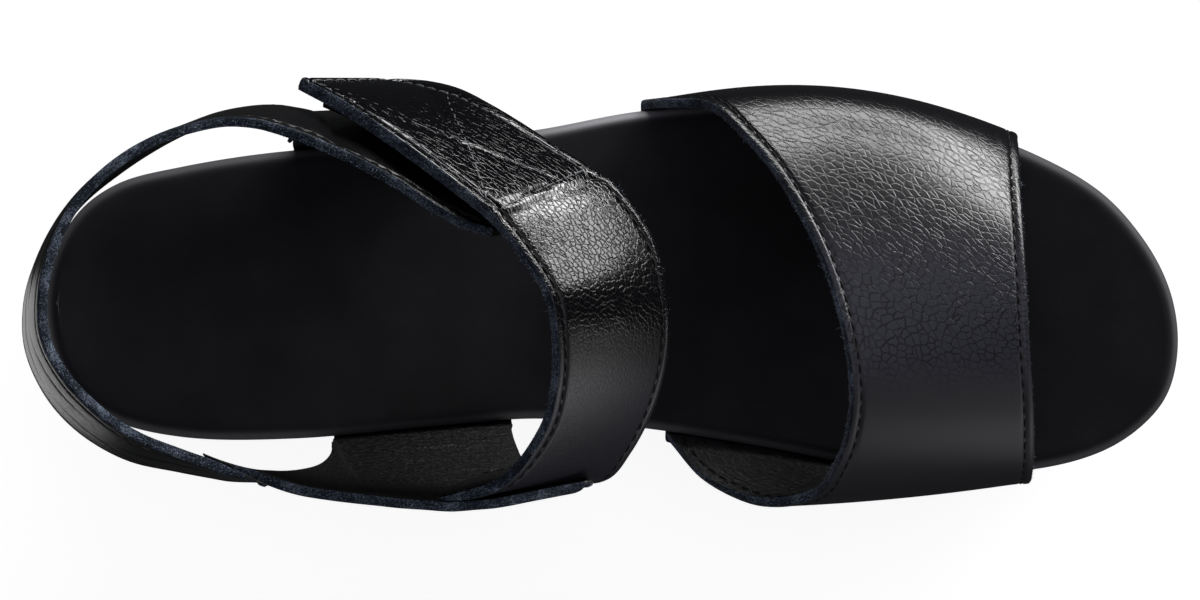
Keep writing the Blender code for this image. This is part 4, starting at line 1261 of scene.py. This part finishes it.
flap_rows = slice(places[0] + TAPE_START_ROWS, places[TAPE_BAND_ROW] - TAPE_END_ROWS)
flap_columns = slice(TAPE_MARGIN, EVEN_COLUMNS - TAPE_MARGIN)
away = grid_normals(even_strap)[flap_rows, flap_columns]
inside = even_strap[flap_rows, flap_columns]
for name, node, layer, pitch in TAPES:
    tape_grid = (inside - away * layer * (SEAT + PATCH))[:, ::TAPE_STRIDE]
    tape_flat = flat_lengths(tape_grid, lengths[flap_rows])
    cloth = fastening_tape(name + "_pile", pitch)
    tape_wall = leather_wall(tape_grid, PATCH)
    tape = leather_piece(name, tape_wall, tape_flat, grain=1.0, dulled_and_lit=0.0, materials=[cloth] * 3)
    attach(tape, "root")
    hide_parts(node)

# Loose fibres: the cut edges are raw, so single fibres of the leather stand out of them all round. They are
# lighter than the leather's face, because they take up less of the dye.
FIBRES_PER_MM = 11.0
FIBRE_LEAST, FIBRE_MEAN = 0.15, 0.34
FIBRE_RADIUS = 0.045
FIBRE_TAPER = 0.8
FIBRE_BEND = 0.25
# least and most that a fibre leans out of the edge, up to the grain face and along the edge
LEAN_OUT, LEAN_UP, LEAN_ALONG = (0.4, 1.0), (-0.5, 0.9), (-1.0, 1.0)
RING_TILT = 0.3
CLEAR_OF_FOOTBED = 2.0
FIBRE_SEED = 11


def edge_fibres(wall, chance):
    """Three-sided tapering hairs at seeded places of a cut edge, each bent half way along its length."""
    a, b = (wall["inner"].reshape(-1, 3)[wall["rim"][:, k]] for k in range(2))
    length = np.linalg.norm(b - a, axis=1)
    above = a[:, 2] > footbed_top(percent(a[:, 0])) + CLEAR_OF_FOOTBED
    weight = length * above * wall["raw"]
    count = int(weight.sum() * FIBRES_PER_MM)
    pick = chance.choice(len(weight), count, p=weight / weight.sum())
    first = wall["rim"][pick, 0]
    normal = wall["normals"].reshape(-1, 3)[first]
    along = (b - a)[pick] / length[pick, None]
    root = a[pick] + (b - a)[pick] * chance.random((count, 1))
    root = root + normal * wall["thick"][first] * chance.random((count, 1))
    lean = np.zeros_like(root)
    for way, limits in ((wall["out"][first], LEAN_OUT), (normal, LEAN_UP), (along, LEAN_ALONG)):
        lean = lean + way * chance.uniform(*limits, (count, 1))
    lean = unit(lean)
    size = FIBRE_LEAST + chance.exponential(FIBRE_MEAN - FIBRE_LEAST, (count, 1))
    bend = chance.normal(0.0, FIBRE_BEND, (count, 3))
    middle = root + lean * size * 0.5
    end = root + (lean + bend) * size
    side = unit(np.cross(lean, normal + RING_TILT * along))
    angle = (np.arange(3) * 2.0 * np.pi / 3.0)[None, :, None]
    ring = side[:, None] * np.cos(angle) + np.cross(lean, side)[:, None] * np.sin(angle)
    base = root[:, None] + ring * FIBRE_RADIUS
    half = middle[:, None] + ring * FIBRE_RADIUS * FIBRE_TAPER
    points = np.concatenate([base, half, end[:, None]], axis=1)
    sides = np.array([[0, 1, 4], [0, 4, 3], [1, 2, 5], [1, 5, 4], [2, 0, 3], [2, 3, 5],
                      [3, 4, 6], [4, 5, 6], [5, 3, 6], [0, 2, 1]])
    faces = sides[None] + (np.arange(count) * points.shape[1])[:, None, None]
    return points.reshape(-1, 3), faces.reshape(-1, 3)


def leather_fibre():
    """Loose fibres of a raw cut: matte, and a pale blue-grey beside the black face."""
    return new_material("leather_fibre", {
        "Base Color": colour("#7d8998"), "Roughness": 0.9, "Specular IOR Level": 0.2})[0]


chance = np.random.default_rng(FIBRE_SEED)
tufts = joined([edge_fibres(wall, chance) for wall in edges])
fibres = new_piece("edge_fibres", *tufts, [leather_fibre()])
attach(fibres, "root")

# Studio, in metres: a pale floor, a long strip light on the lateral side that the leather mirrors, weaker
# ones before the toe and on the medial side, a wide one overhead, a small card on the floor behind the heel
# and a dim surround. The camera looks straight down, as in the photo, and its own sizes are in mm.
FLOOR_SIZE = 30.0
LIGHTS = (
    # name, place, aim, width and height, power in watts, colour
    ("lateral_softbox", (0.45, 1.45, 0.27), (0.0, 0.0, 0.05), (1.9, 0.3), 26.0, "#ffffff"),
    ("toe_softbox", (1.2, 0.95, 0.36), (0.0, 0.0, 0.08), (1.0, 0.4), 12.0, "#ffffff"),
    ("medial_softbox", (1.1, -0.9, 0.22), (0.0, 0.0, 0.08), (1.1, 0.4), 4.0, "#ffffff"),
    ("medial_fill", (-0.3, -1.6, 0.3), (0.0, 0.0, 0.05), (2.0, 0.6), 2.4, "#ffffff"),
    ("overhead_softbox", (0.0, 0.05, 1.7), (0.0, 0.05, 0.0), (3.0, 2.2), 9.5, "#f0f0ff"),
    ("heel_card", (-0.30, -0.045, 0.002), (-0.30, -0.045, 1.0), (0.3, 0.11), 0.11, "#ffffff"),
)
SURROUND = 0.03
CAMERA_ALONG = 122.5
CAMERA_HEIGHT = 1235.0
# width of the picture, and the height over the floor at which it is measured
FRAME_WIDTH = 267.1
FRAME_HEIGHT_AT = 35.0
SENSOR = 36.0


def floor_paper():
    """Matte studio paper, lit from behind so that it looks white."""
    return new_material("floor_paper", {
        "Base Color": colour("#a8a8a8"), "Roughness": 0.9, "Specular IOR Level": 0.0,
        "Emission Color": colour("#ffffff"), "Emission Strength": 0.88})[0]


def soft_light(name, place, aim, size, power, code):
    """Rectangular area light that faces a point: its -Z axis runs from its place to the aim."""
    light = bpy.data.lights.new(name, "AREA")
    light.shape = "RECTANGLE"
    light.size, light.size_y = size
    light.energy = power
    light.color = colour(code)[:3]
    lamp = new_object(name, light)
    lamp.location = place
    lamp.rotation_euler = (Vector(aim) - Vector(place)).to_track_quat("-Z", "Y").to_euler()
    lamp.visible_camera = False


half = FLOOR_SIZE / 2.0
floor_corners = [(-half, -half, 0.0), (half, -half, 0.0), (half, half, 0.0), (-half, half, 0.0)]
floor_mesh = bpy.data.meshes.new("floor")
floor_mesh.from_pydata(floor_corners, [], [(0, 1, 2, 3)])
floor_mesh.materials.append(floor_paper())
floor = new_object("floor", floor_mesh)
floor.visible_glossy = False
floor.visible_diffuse = False
for light in LIGHTS:
    soft_light(*light)
world = bpy.data.worlds.new("studio")
world.use_nodes = True
surround = world.node_tree.nodes["Background"]
surround.inputs["Color"].default_value = colour("#f2f5fa")
surround.inputs["Strength"].default_value = SURROUND
bpy.context.scene.world = world
bpy.context.scene.view_settings.view_transform = "Standard"
lens = bpy.data.cameras.new("camera")
lens.sensor_width = SENSOR
lens.lens = SENSOR * (CAMERA_HEIGHT - FRAME_HEIGHT_AT) / FRAME_WIDTH
camera = new_object("camera", lens)
camera.location = ((CAMERA_ALONG - ORIGIN_ALONG) * MM, -ORIGIN_SIDE * MM, CAMERA_HEIGHT * MM)
bpy.context.scene.camera = camera
